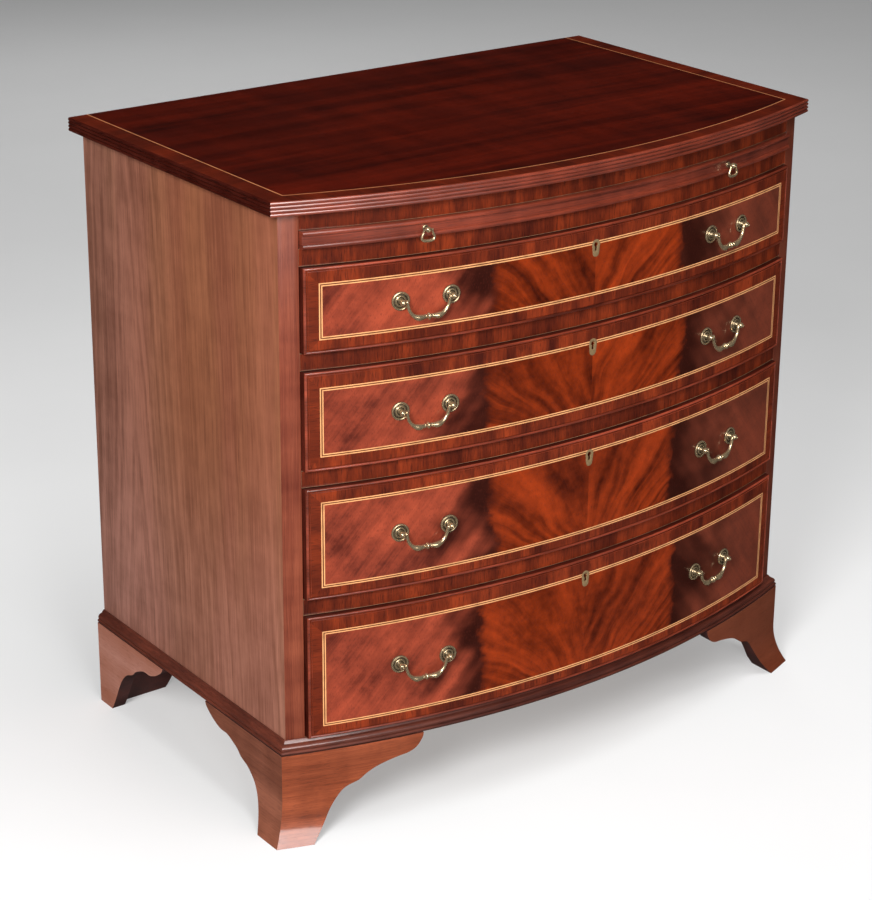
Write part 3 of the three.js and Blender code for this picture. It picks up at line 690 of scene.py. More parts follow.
def smooth_path(points, steps):
    """Points along a smooth curve through the given ones."""
    points = [Vector((x, 0, z)) for x, z in points]
    ends = [2 * points[0] - points[1], *points, 2 * points[-1] - points[-2]]
    path = []
    for a, b, c, d in zip(ends, ends[1:], ends[2:], ends[3:]):
        square = 2 * a - 5 * b + 4 * c - d
        cube = 3 * b - a - 3 * c + d
        for i in range(steps):
            t = i / steps
            path.append(0.5 * (2 * b + (c - a) * t + square * t**2 + cube * t**3))
    return [*path, points[-1]]


def hanging_path(half, drop, steps):
    """A smooth path from pin to pin through half a loop, its lowest point and the mirrored half."""
    left = [(-x, -fall) for x, fall in half]
    return smooth_path([*left, (0.0, -drop), *((-x, z) for x, z in reversed(left))], steps)


def flat_ball(bm, centre, axis, radius, squash, segments, rings):
    """Adds a ball that is squashed along the direction to which a quarter turn about an axis takes Z."""
    place = Matrix.Translation(centre) @ Matrix.Rotation(math.pi / 2, 4, axis)
    bmesh.ops.create_uvsphere(
        bm, u_segments=segments, v_segments=rings, radius=radius,
        matrix=place @ Matrix.Diagonal((1, 1, squash, 1)),
    )


class ChestOperator(bpy.types.Operator):
    """Shared settings of the operators that make the chest."""

    bl_options = {"REGISTER", "UNDO"}

    def execute(self, context):
        self.sizes = context.scene.chest_sizes
        self.colours = context.scene.chest_colours
        self.make(context)
        return {"FINISHED"}


class CHEST_OT_top(ChestOperator):
    """Makes the top board: reeded edge, crossbanding, boxwood line and field"""

    bl_idname = "chest.make_top"
    bl_label = "Top board"

    REEDS = 4
    REED_STEPS = 6
    # The board follows the bow as far back as this Y
    BENT_DEPTH = 0.06
    FIELD, FRONT_BAND, SIDE_BAND, LINE, FRONT_REEDS, SIDE_REEDS = range(6)

    def make(self, context):
        sizes, colours = self.sizes, self.colours
        lowest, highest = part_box("top")
        half = highest.x
        reach = FRONT_Y - lowest.y
        bm = block((-half, -reach, lowest.z), (half, highest.y, highest.z))
        self.string_x = half - sizes.top_string_side
        self.string_y = sizes.top_string_front - reach
        line = sizes.top_string / 2
        slice_at(bm, X, spaced(-half, half, sizes.bow_slices))
        slice_at(bm, X, [side * (self.string_x + edge) for side in (-1, 1) for edge in (-line, line)])
        slice_at(bm, Y, [self.string_y - line, self.string_y + line, self.BENT_DEPTH])
        for side in (-1, 1):
            corner = Vector((side * half, -reach, highest.z))
            inner = Vector((side * self.string_x, self.string_y, highest.z))
            run = (inner - corner).normalized()
            slice_corner(bm, corner, run.cross(Vector((0, 0, 1))), lambda face: self.in_corner(face, side))
        slice_at(bm, Z, spaced(lowest.z, highest.z, self.REEDS * self.REED_STEPS))
        paint(bm, lambda face: self.veneer(face, line))
        height = (highest.z - lowest.z) / self.REEDS
        for vert in bm.verts:
            share = ((vert.co.z - lowest.z) / height) % 1.0
            inset = sizes.reed_depth * (1 - math.sqrt(max(0.0, 1 - (2 * share - 1) ** 2)))
            if vert.co.z > highest.z - TINY:
                inset = sizes.reed_depth
            if abs(vert.co.x) > half - TINY:
                vert.co.x -= math.copysign(inset, vert.co.x)
            if vert.co.y < TINY - reach:
                vert.co.y += inset
        bow([vert for vert in bm.verts if vert.co.y < self.BENT_DEPTH - TINY])
        band = [between(top, other, 0.4) for top, other in zip(colours.pair("top"), colours.pair("band"))]
        satin = {"coat": 0.4, "coat_roughness": 0.3}
        materials = [
            plain_wood("top_field", "xyz", *colours.pair("top"), 3.0, **satin),
            plain_wood("top_band_front", "yxz", *band, 5.0, **satin),
            plain_wood("top_band_side", "xyz", *band, 7.0, **satin),
            inlay_line("top_line", between(colours.foot_light, colours.boxwood, 0.45)),
            moulded_wood("top_reeds", colours.band_dark, colours.plain_light, 9.0, 1.0, 0.2, 1.0),
            plain_wood("top_reeds_side", "yxz", colours.top_dark, colours.plain_dark, 10.0, coat=0.5),
        ]
        finish_piece(bm, "top_board", "case", materials, ["top"], MOULDED_ANGLE)

    def in_corner(self, face, side):
        place = face.calc_center_median()
        return side * place.x > self.string_x and place.y < self.string_y and face.normal.z > 0.5

    def veneer(self, face, line):
        """Picks a face's wood from its place."""
        place = face.calc_center_median()
        across, forward = abs(place.x) - self.string_x, self.string_y - place.y
        beyond = max(across, forward)
        if face.normal.z < 0.5:
            return self.SIDE_REEDS if abs(face.normal.x) > 0.5 else self.FRONT_REEDS
        if abs(beyond) < line:
            return self.LINE
        if beyond < 0:
            return self.FIELD
        return self.SIDE_BAND if across > forward else self.FRONT_BAND


class CHEST_OT_sides(ChestOperator):
    """Makes the side panels with the stiles that their front edges form"""

    bl_idname = "chest.make_sides"
    bl_label = "Side panels"

    STILE_SLICES = 4
    CLEARANCE = 0.0003
    VENEER, STILE, LINING = range(3)

    def make(self, context):
        colours = self.colours
        veneer = side_wood("side_veneer", colours, 11.0)
        bright = between(colours.plain_light, colours.side_red, 0.7)
        # Painted shade: the right stile's colour is darkened towards the side's dark brown, as the light
        # falls from the left
        tones = {"left": bright, "right": between(bright, colours.side_dark, 0.6)}
        lining = dry_wood("side_lining", "zyx", *colours.pair("carcase"), 15.0)
        rebate_x = high("back_panel").x + self.CLEARANCE
        rebate_y = low("back_panel").y - self.CLEARANCE
        for name, side in SIDES:
            stile = plain_wood(
                f"stile_veneer_{name}", "zxy", colours.plain_dark, tones[name], 19.0,
                figure=0.35, pores=0.15, coat=0.1, coat_roughness=0.3,
            )
            lowest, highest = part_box(f"side_{name}")
            inner, outer = sorted((abs(lowest.x), abs(highest.x)))
            outline = [(inner, 0), (outer, 0), (outer, BACK_Y), (rebate_x, BACK_Y), (rebate_x, rebate_y)]
            points = [(x, y, lowest.z) for x, y in [*outline, (inner, rebate_y)]]
            bm = prism(points, (0, 0, highest.z - lowest.z))
            bmesh.ops.recalc_face_normals(bm, faces=bm.faces[:])
            slice_at(bm, X, spaced(inner, outer, self.STILE_SLICES))
            paint(bm, self.wood)
            bow([vert for vert in bm.verts if vert.co.y < TINY])
            ease(bm, self.sizes.eased_edge)
            mirror(bm, side)
            materials = [veneer, stile, lining]
            finish_piece(bm, f"side_panel_{name}", "case", materials, [f"side_{name}"])

    def wood(self, face):
        if face.normal.y < -0.5:
            return self.STILE
        return self.LINING if face.normal.x < -0.5 or face.normal.y > 0.5 else self.VENEER


class CHEST_OT_rails(ChestOperator):
    """Makes the bowed rails and the boards behind them"""

    bl_idname = "chest.make_rails"
    bl_label = "Rails and dust boards"

    def make(self, context):
        sizes, colours = self.sizes, self.colours
        front = crossbanding("rail_banding", "x", "z", 21.0, colours)
        wood = dry_wood("rail_core", "xyz", *colours.pair("carcase"), 23.0)
        board = dry_wood("dust_board", "xyz", *colours.pair("carcase"), 25.0)
        half = OPENING_HALF
        rail_back = front_y(CASE_HALF) + sizes.rail_depth
        for node in ("divider_1", "divider_2", "divider_3", "slide_rail", "top_rail"):
            lowest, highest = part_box(node)
            bm = block((-half, 0, lowest.z), (half, rail_back, highest.z))
            slice_at(bm, X, spaced(-half, half, sizes.bow_slices))
            paint(bm, lambda face: 0 if face.normal.y < -0.5 else 1)
            bow([vert for vert in bm.verts if abs(vert.co.y) < TINY])
            ease(bm, sizes.eased_edge / 2, segments=1)
            finish_piece(bm, f"{node}_front", "case", [front, wood], [node])
            floor = lowest.z if node == "top_rail" else highest.z - sizes.dust_board
            corner = (highest.x, highest.y, floor + sizes.dust_board)
            bm = block((lowest.x, rail_back, floor), corner)
            ease(bm, sizes.eased_edge)
            finish_piece(bm, f"{node}_board", "case", [board])


class CHEST_OT_back(ChestOperator):
    """Makes the back of upright boards, and finishes the bottom"""

    bl_idname = "chest.make_back"
    bl_label = "Back and bottom"

    BOARDS = 5
    JOINT_BEVEL = 0.0018

    def make(self, context):
        carcase = self.colours.pair("carcase")
        lowest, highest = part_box("back_panel")
        width = (highest.x - lowest.x) / self.BOARDS
        bm = bmesh.new()
        for i in range(self.BOARDS):
            start = lowest.x + i * width
            block((start, lowest.y, lowest.z), (start + width, highest.y, highest.z), bm)
        ease(bm, self.JOINT_BEVEL, segments=1)
        wood = dry_wood("back_board", "zxy", *carcase, 31.0, bands=18.0)
        finish_piece(bm, "back_boards", "case", [wood], ["back_panel"])
        dress("bottom_board", dry_wood("bottom_wood", "xyz", *carcase, 33.0))


class CHEST_OT_moulding(ChestOperator):
    """Makes the base moulding, mitred round the front corners"""

    bl_idname = "chest.make_moulding"
    bl_label = "Base moulding"

    # Sizes of the bead at the foot and of the round above it, as shares of the moulding's height
    BEAD = 0.15
    ROUND = 0.30

    def make(self, context):
        lowest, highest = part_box("base_moulding")
        reach = highest.x - CASE_HALF
        height = highest.z - lowest.z
        bead, size = self.BEAD * height, self.ROUND * height
        # Bead, fillet, round, quirk and slope, by how far out and how far up they go
        outline = [(reach - bead, 0.0), *arc(reach - bead, bead, bead, -90, 90)]
        outline += [(0.80 * reach, 2.05 * bead), (0.80 * reach, 2.45 * bead), (0.88 * reach, 2.5 * bead)]
        outline += arc(0.88 * reach - size, 2.9 * bead, size, 0, 78)
        outline += [(0.36 * reach, 0.77 * height), (0.34 * reach, 0.80 * height), (0.14 * reach, height)]
        outline += [(0.0, height), (0.0, 0.0)]
        bm = bmesh.new()
        end = bm.faces.new([bm.verts.new((0, out, lowest.z + up)) for out, up in outline])
        slices = self.sizes.bow_slices
        for _ in range(slices + 2):
            end = extruded(bm, [end], (1, 0, 0))[0]
        for vert in bm.verts:
            vert.co.x, vert.co.y = self.course(round(vert.co.x), vert.co.y, slices)
        wood = moulded_wood("moulding_wood", *self.colours.pair("moulding"), 35.0, 0.6, 0.16, 0.4)
        finish_piece(
            bm, "base_moulding_strip", "case", [wood], ["base_moulding"], MOULDED_ANGLE
        )

    def course(self, station, out, slices):
        """A point of the moulding's way from one back corner round the front to the other."""
        half = CASE_HALF + out
        if station == 0:
            return -half, BACK_Y
        if station == slices + 2:
            return half, BACK_Y
        x = -half + 2 * half * (station - 1) / slices
        return x, front_y(x, out)


class CHEST_OT_feet(ChestOperator):
    """Makes the four bracket feet"""

    bl_idname = "chest.make_feet"
    bl_label = "Bracket feet"

    # Shares of the wing's length and the foot's height, from the leg at the floor to the wing's end
    FRONT_SHARES = (
        (0.156, 0.0), (0.181, 0.045), (0.222, 0.115), (0.268, 0.21), (0.313, 0.317), (0.361, 0.42),
        (0.41, 0.51), (0.457, 0.553), (0.525, 0.59), (0.58, 0.652), (0.65, 0.71), (0.736, 0.753),
        (0.82, 0.782), (0.893, 0.804), (0.95, 0.853), (0.99, 0.94), (1.0, 1.0),
    )
    SIDE_SHARES = (
        (0.18, 0.0), (0.222, 0.1), (0.262, 0.208), (0.297, 0.312), (0.33, 0.4), (0.36, 0.47), (0.4, 0.535),
        (0.45, 0.593), (0.527, 0.642), (0.58, 0.711), (0.645, 0.76), (0.71, 0.796), (0.79, 0.799),
        (0.845, 0.822), (0.911, 0.871), (0.978, 0.944), (1.0, 1.0),
    )
    REAR_SHARES = ((0.62, 0.0), (0.66, 0.06), (0.73, 0.2), (0.82, 0.45), (0.93, 0.8), (1.0, 1.0))
    CURVE_STEPS = 4
    SLICES = 16
    LEVELS = 24
    # Slots of the feet's woods; the inside and the right front carry painted shade, the back side a painted
    # sheen
    FRONT, SIDE, INSIDE, BACK_SIDE, RIGHT_FRONT = range(5)

    def make(self, context):
        colours = self.colours
        glossy = {"pores": 0.3, "coat": 1.0, "coat_roughness": 0.10, "gloss": 0.2}
        satin = {"pores": 0.3, "coat": 0.25, "gloss": 0.3}
        # Painted sheen: the back feet's outer sides use a paler, greyer wood
        back_side = (colours.foot_side_light, colours.side_faded)
        # Painted shade: the right front foot's front uses a darker copy of the foot's wood, as the light
        # falls from the left
        shaded_right_light = between(colours.foot_light, colours.foot_side_dark, 0.65)
        self.materials = [
            plain_wood("foot_front_wood", "xzy", *colours.pair("foot"), 41.0, **glossy),
            plain_wood("foot_side_wood", "yzx", *colours.pair("foot_side"), 43.0, **satin),
            # Painted shade: the feet's inner faces, and the back feet's forward faces, get a near-black wood
            # that stands for the shade inside the brackets
            dry_wood("foot_inside", "yzx", colours.moulding_dark, colours.plain_dark, 45.0),
            plain_wood("foot_back_side_wood", "yzx", *back_side, 47.0, **satin),
            plain_wood("foot_right_front_wood", "xzy", colours.foot_dark, shaded_right_light, 49.0, **glossy),
        ]
        self.half = high("base_moulding").x
        self.reach = self.half - CASE_HALF
        for name, side in SIDES:
            self.front_foot(f"foot_front_{name}", side)
            self.back_foot(f"foot_back_{name}", side)

    def wing(self, shares, length, height):
        """A bracket with a mitred end. X runs along it from the corner and Y into its thickness."""
        curve = smooth_path([(along * length, up * height) for along, up in shares], self.CURVE_STEPS)
        bm = prism([*curve, (0, 0, height), (0, 0, 0)], (0, self.sizes.foot_thickness, 0))
        slice_at(bm, Z, spaced(0, height, self.LEVELS))
        slice_at(bm, X, spaced(0, length, self.SLICES))
        bmesh.ops.bisect_plane(
            bm, geom=everything(bm), dist=HAIR, plane_co=(0, 0, 0), plane_no=(-1, 1, 0), clear_outer=True
        )
        return bm

    def front_foot(self, node, side):
        lowest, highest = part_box(node)
        height = highest.z - lowest.z
        inner, outer = sorted((abs(lowest.x), abs(highest.x)))
        self.splay = outer - self.half
        corner_y = front_y(self.half, self.reach)
        length = self.half - inner
        front = self.wing(self.FRONT_SHARES, length, height)
        for vert in front.verts:
            place, offset, fade = self.splayed(vert.co, self.FRONT_SHARES[0][0] * length)
            x = vert.co.x - self.half + (place - vert.co.y + self.half) * fade
            vert.co = Vector((x, front_y(x, offset), vert.co.z))
        length = highest.y - corner_y
        other = self.wing(self.SIDE_SHARES, length, height)
        for vert in other.verts:
            place, offset, fade = self.splayed(vert.co, self.SIDE_SHARES[0][0] * length)
            y = corner_y + vert.co.x + (front_y(place, offset) - corner_y - vert.co.y) * fade
            vert.co = Vector((place, y, vert.co.z))
        # The right front foot's front gets the darker copy with painted shade
        forward = self.RIGHT_FRONT if side > 0 else self.FRONT
        self.finish_foot(node, side, front, other, forward, self.SIDE)

    def splayed(self, place, leg):
        """X at the mitre, the front's offset and a leg's share of the splay, at a place in a wing."""
        skin = 1 - place.y / self.sizes.foot_thickness
        flare = skin * max(0.0, 1 - place.z / self.sizes.flare_height) ** 2
        x = place.y - self.half - self.splay * flare
        fade = max(0.0, 1 - (place.x - place.y) / leg)
        return x, self.reach + self.sizes.front_flare * flare - place.y, fade

    def back_foot(self, node, side):
        lowest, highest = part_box(node)
        height = highest.z - lowest.z
        front = self.wing(self.SIDE_SHARES, highest.y - lowest.y, height)
        for vert in front.verts:
            vert.co = Vector((vert.co.y - self.half, BACK_Y - vert.co.x, vert.co.z))
        rear = self.wing(self.REAR_SHARES, highest.x - lowest.x, height)
        for vert in rear.verts:
            vert.co = Vector((vert.co.x - self.half, BACK_Y - vert.co.y, vert.co.z))
        # The back feet's forward faces get the near-black wood of painted shade and their outer sides the
        # wood of painted sheen
        self.finish_foot(node, side, front, rear, self.INSIDE, self.BACK_SIDE)

    def finish_foot(self, node, side, bm, other, forward, outward):
        """Joins the wings of a left foot, gives its faces their woods and mirrors it for the right."""
        join(bm, other)
        bmesh.ops.remove_doubles(bm, verts=bm.verts[:], dist=2 * TINY)
        bmesh.ops.recalc_face_normals(bm, faces=bm.faces[:])

        def wood(face):
            if face.normal.y < -0.6:
                return forward
            return outward if face.normal.x < -0.6 else self.INSIDE

        paint(bm, wood)
        mirror(bm, -side)
        finish_piece(bm, f"{node}_bracket", "case", self.materials, [node])


class CHEST_OT_slide(ChestOperator):
    """Makes the brushing slide with its hollowed front edge"""

    bl_idname = "chest.make_slide"
    bl_label = "Brushing slide"

    EDGE_DEPTH = 0.046
    BOARD_THICKNESS = 0.014
    CLAMP_WIDTH = 0.05
    HOLLOW = 0.0026
    # Each of the edge's two bands as a share of its height, the part of it that is round, and how full
    BAND = 0.27
    ROUND_PART = 0.96
    FULLNESS = 0.6
    BAND_STEPS = 6

    def make(self, context):
        colours = self.colours
        lowest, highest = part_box("slide_board")
        half = highest.x
        edge_back = front_y(CASE_HALF) + self.EDGE_DEPTH
        height = highest.z - lowest.z
        band = self.BAND * height / 2
        outline = [(self.HOLLOW, 0.0)]
        for middle in (band, height - band):
            for i in range(self.BAND_STEPS + 1):
                turn = math.pi * i / self.BAND_STEPS
                hollow = self.HOLLOW * (1 - math.sin(turn) ** self.FULLNESS)
                outline.append((hollow, middle - band * self.ROUND_PART * math.cos(turn)))
        outline.append((self.HOLLOW, height))
        points = [(-half, hollow - PROUD, lowest.z + up) for hollow, up in outline]
        points += [(-half, edge_back, z) for z in (highest.z, lowest.z)]
        bm = prism(points, (2 * half, 0, 0))
        bmesh.ops.recalc_face_normals(bm, faces=bm.faces[:])
        slice_at(bm, X, spaced(-half, half, self.sizes.bow_slices))
        bow([vert for vert in bm.verts if -PROUD - TINY < vert.co.y < TINY])
        wood = moulded_wood("slide_edge_wood", colours.band_dark, colours.plain_light, 51.0, 0.8, 0.2, 0.4)
        finish_piece(bm, "slide_edge", "slide", [wood], ["slide_board"], MOULDED_ANGLE)
        corner = (highest.x, highest.y, lowest.z + self.BOARD_THICKNESS)
        bm = block((lowest.x, edge_back, lowest.z), corner)
        deck_half = half - self.CLAMP_WIDTH
        slice_at(bm, X, [-deck_half, deck_half])
        paint(bm, lambda face: 1 if abs(face.calc_center_median().x) > deck_half else 0)
        ease(bm, self.sizes.eased_edge)
        woods = [
            plain_wood(f"slide_{name}_wood", axes, colours.plain_dark, colours.foot_light, seed, coat=0.3)
            for name, axes, seed in (("deck", "xyz", 53.0), ("clamp", "yxz", 55.0))
        ]
        finish_piece(bm, "slide_deck", "slide", woods)


class CHEST_OT_drawer_fronts(ChestOperator):
    """Makes the moulded and inlaid drawer fronts"""

    bl_idname = "chest.make_drawer_fronts"
    bl_label = "Drawer fronts"

    BEAD_STEPS = 10
    # The two walls of the groove inside the bead lean by this much
    LEAN = 0.0001
    # Middle of the double string above and below, from the edges of each front
    STRING_TOP = (0.0212, 0.0221, 0.0197, 0.0227)
    STRING_BOTTOM = (0.0186, 0.0197, 0.0173, 0.0173)
    # Half the width of the flame on each front
    PATCH = (0.150, 0.158, 0.148, 0.163)
    # How much lighter the left and the right leaf of each front are
    LEAF_TONES = ((-0.045, 0.010), (-0.040, 0.004), (-0.004, 0.022), (0.004, 0.004))
    # The hole for the key: half its width, its depth, its top below the front's edge, and its height
    MORTISE_HALF = 0.0034
    MORTISE_DEPTH = 0.009
    MORTISE_TOP = 0.0204
    MORTISE_HEIGHT = 0.0122
    FLAME, BAND, END_BAND, LIGHT, DARK, EDGE, CORE, RIM = range(8)

    def make(self, context):
        colours = self.colours
        woods = [
            crossbanding("drawer_banding", "x", "z", 61.0, colours),
            crossbanding("drawer_end_banding", "z", "x", 63.0, colours, spread=0.26),
            inlay_line("boxwood_line", colours.boxwood),
            inlay_line("dark_line", colours.string_dark),
            moulded_wood("drawer_edge", colours.flame_dark, colours.plain_light, 65.0, 0.8, 0.16, 0.5),
            dry_wood("drawer_core", "xzy", *colours.pair("carcase"), 67.0),
            plain_wood("drawer_rim", "xyz", colours.top_dark, colours.plain_dark, 66.0, coat=0.3),
        ]
        for number, patch, tones in zip(DRAWERS, self.PATCH, self.LEAF_TONES):
            floor = low(f"drawer_{number}_front").z
            flame = flame_veneer(f"flame_veneer_{number}", floor, 70.0 + 10 * number, patch, tones, colours)
            self.front(number, [flame, *woods])

    def front(self, number, materials):
        sizes = self.sizes
        node = f"drawer_{number}_front"
        lowest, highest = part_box(node)
        half = highest.x
        # How far behind the case's front the back of the drawer front lies
        back = BOW_RADIUS - math.hypot(half, highest.y - BOW_CENTRE_Y)
        shoulder = PROUD - sizes.bead_height
        bm = block((-half, -shoulder, lowest.z), (half, back, highest.z))
        face = min(bm.faces, key=lambda face: face.calc_center_median().y)
        radius = sizes.bead_width / 2
        turns = [math.pi * i / self.BEAD_STEPS for i in range(self.BEAD_STEPS + 1)]
        insets = [
            (radius * (math.cos(a) - math.cos(b)), sizes.bead_height * (math.sin(b) - math.sin(a)))
            for a, b in zip(turns, turns[1:])
        ]
        floor = shoulder - (PROUD - sizes.quirk_depth)
        insets += [(self.LEAN, -floor), (sizes.quirk_width, 0.0), (self.LEAN, sizes.quirk_depth)]
        for width, rise in insets:
            bmesh.ops.inset_region(bm, faces=[face], thickness=width, depth=rise, use_even_offset=True)
        string_top = highest.z - self.STRING_TOP[number - 1]
        self.middle_z = (lowest.z + self.STRING_BOTTOM[number - 1] + string_top) / 2
        self.half_z = string_top - self.middle_z
        self.half_x = half - sizes.string_inset
        self.inner = sizes.dark_line / 2
        self.outer = self.inner + sizes.light_line
        cuts = (-self.outer, -self.inner, self.inner, self.outer)
        slice_at(bm, X, [side * (self.half_x + cut) for side in (-1, 1) for cut in cuts])
        slice_at(bm, Z, [self.middle_z + side * (self.half_z + cut) for side in (-1, 1) for cut in cuts])
        for side in (-1, 1):
            for end in (-1, 1):
                corner = Vector((side * self.half_x, 0, self.middle_z + end * self.half_z))
                slant = Vector((end, 0, -side))
                slice_corner(bm, corner, slant, lambda face: self.in_corner(face, side, end))
        mortise_top = highest.z - self.MORTISE_TOP
        mortise_foot = mortise_top - self.MORTISE_HEIGHT
        slice_at(bm, X, [-self.MORTISE_HALF, self.MORTISE_HALF])
        slice_at(bm, Z, [mortise_foot, mortise_top])
        slice_at(bm, X, spaced(-half, half, sizes.bow_slices))
        bm.normal_update()
        paint(bm, self.veneer)
        hole = [
            face for face in bm.faces
            if face.normal.y < -0.9 and abs(face.calc_center_median().x) < self.MORTISE_HALF
            and mortise_foot < face.calc_center_median().z < mortise_top
        ]
        bmesh.ops.inset_region(bm, faces=hole, thickness=0, depth=-self.MORTISE_DEPTH)
        bow(bm.verts[:])
        body = f"drawer_{number}"
        finish_piece(bm, f"{node}_panel", body, materials, [node], MOULDED_ANGLE)

    def beyond(self, place):
        """How far outside the middle of the double string a place lies, sideways and up or down."""
        return abs(place.x) - self.half_x, abs(place.z - self.middle_z) - self.half_z

    def in_corner(self, face, side, end):
        place = face.calc_center_median()
        across, up = self.beyond(place)
        at_corner = side * place.x > 0 and end * (place.z - self.middle_z) > 0
        return at_corner and across > -self.outer and up > -self.outer and face.normal.y < -0.9

    def veneer(self, face):
        """Picks a face's wood: by its direction the back, rim or bead, and on the face by its place."""
        for slot, most in ((self.CORE, 0.5), (self.RIM, -0.001), (self.EDGE, -0.999)):
            if face.normal.y > most:
                return slot
        across, up = self.beyond(face.calc_center_median())
        out = max(across, up)
        if abs(out) < self.outer:
            return self.DARK if abs(out) < self.inner else self.LIGHT
        if out < 0:
            return self.FLAME
        return self.END_BAND if across > up else self.BAND


class CHEST_OT_drawer_boxes(ChestOperator):
    """Makes the oak sides, back and bottom of each drawer"""

    bl_idname = "chest.make_drawer_boxes"
    bl_label = "Drawer linings"

    TOP_ROUND = 0.002
    # How far the sides start behind the case's front, just clear of the drawer front's back
    BEHIND_FACE = 0.0163

    def make(self, context):
        oak = self.colours.pair("oak")
        side_oak = dry_wood("drawer_side_oak", "yzx", *oak, 91.0, bands=60.0)
        back_oak = dry_wood("drawer_back_oak", "xzy", *oak, 93.0, bands=60.0)
        bottom_oak = dry_wood("drawer_bottom_oak", "xyz", *oak, 95.0, bands=40.0)
        wall = self.sizes.drawer_side
        for number in DRAWERS:
            body = f"drawer_{number}"
            lowest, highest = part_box(f"{body}_box")
            half = highest.x
            front = high(f"{body}_front").y
            for name, side in SIDES:
                bm = block((half - wall, front, lowest.z), (half, highest.y, highest.z))
                for vert in bm.verts:
                    if vert.co.y < front + TINY:
                        vert.co.y = front_y(vert.co.x, -self.BEHIND_FACE)
                ease(bm, self.TOP_ROUND)
                mirror(bm, side)
                replaced = [f"{body}_box"] if side < 0 else ()
                finish_piece(bm, f"{body}_side_{name}", body, [side_oak], replaced)
            corner = (wall - half, highest.y - wall, lowest.z)
            bm = block(corner, (half - wall, highest.y, highest.z))
            ease(bm, self.TOP_ROUND)
            finish_piece(bm, f"{body}_back", body, [back_oak])
            dress(f"{body}_bottom", bottom_oak)


class CHEST_OT_locks(ChestOperator):
    """Makes the keyhole plates and the lock cases"""

    bl_idname = "chest.make_locks"
    bl_label = "Locks and keyhole plates"

    FRONT_THICKNESS = 0.024
    # The opening's top above the drawer front, and the plate's and the lock case's tops below the opening's
    OPENING_GAP = 0.001
    DROP = 0.0180
    CASE_DROP = 0.008
    HEIGHT = 0.0228
    TOP_RADIUS = 0.0066
    FOOT_RADIUS = 0.0053
    THICKNESS = 0.0016
    PLATE_PROUD = 0.0002
    PLATE_EDGE = 0.0005
    HOLE_RADIUS = 0.0029
    SLOT_HALF = 0.0015
    SLOT_REACH = 0.0070
    CASE_SIZE = (0.058, 0.010, 0.034)
    CASE_LET_IN = 0.006
    # Places of the screws as shares of the case's width and height. Their heads are flattened balls
    SCREWS = ((-0.4, 0.16), (-0.4, 0.84), (0.4, 0.16), (0.4, 0.84))
    SCREW_RADIUS = 0.0026
    SCREW_SQUASH = 0.35

    def make(self, context):
        colours = self.colours
        dark = colours.brass_dark
        plate_metal = brass("keyhole_plate_brass", dark, colours.plate, 101.0, lift=0.08, metal=0.4)
        case_metal = brass("lock_case_brass", dark, colours.brass_light, 103.0, shine=0.5, lift=0.06)
        for number in DRAWERS:
            body = f"drawer_{number}"
            opening_top = high(f"{body}_front").z + self.OPENING_GAP
            self.plate(body, opening_top - self.DROP, plate_metal)
            self.case(body, opening_top - self.CASE_DROP, case_metal)

    def plate(self, body, top, metal):
        face = front_y(0, PROUD)
        upper, lower = top - self.TOP_RADIUS, top - self.HEIGHT + self.FOOT_RADIUS
        rim = arc(0, upper, self.TOP_RADIUS, 0, 180, 20) + arc(0, lower, self.FOOT_RADIUS, 180, 360, 16)
        turn = math.degrees(math.asin(self.SLOT_HALF / self.HOLE_RADIUS))
        hole = arc(0, upper, self.HOLE_RADIUS, turn - 90, 270 - turn, 20)
        hole += arc(0, upper - self.SLOT_REACH, self.SLOT_HALF, 180, 360, 8)
        bm = bmesh.new()
        edges = []
        for loop in (rim, hole):
            verts = [bm.verts.new((x, face - self.PLATE_PROUD, z)) for x, z in loop]
            edges += [bm.edges.new(pair) for pair in zip(verts, [*verts[1:], verts[0]])]
        made = bmesh.ops.triangle_fill(bm, use_beauty=True, use_dissolve=False, edges=edges)["geom"]
        faces = [part for part in made if isinstance(part, bmesh.types.BMFace)]
        extruded(bm, faces, (0, self.THICKNESS, 0))
        ease(bm, self.PLATE_EDGE, angle=60)
        finish_piece(bm, f"{body}_keyhole_plate", body, [metal], [f"{body}_lock"])

    def case(self, body, top, metal):
        width, depth, height = self.CASE_SIZE
        back = front_y(0, PROUD - self.FRONT_THICKNESS + self.CASE_LET_IN)
        bm = block((-width / 2, back, top - height), (width / 2, back + depth, top))
        ease(bm, self.sizes.eased_edge)
        for x, z in self.SCREWS:
            centre = (x * width, back + depth, top - height * z)
            flat_ball(bm, centre, "X", self.SCREW_RADIUS, self.SCREW_SQUASH, 16, 8)
        finish_piece(bm, f"{body}_lock_case", body, [metal])


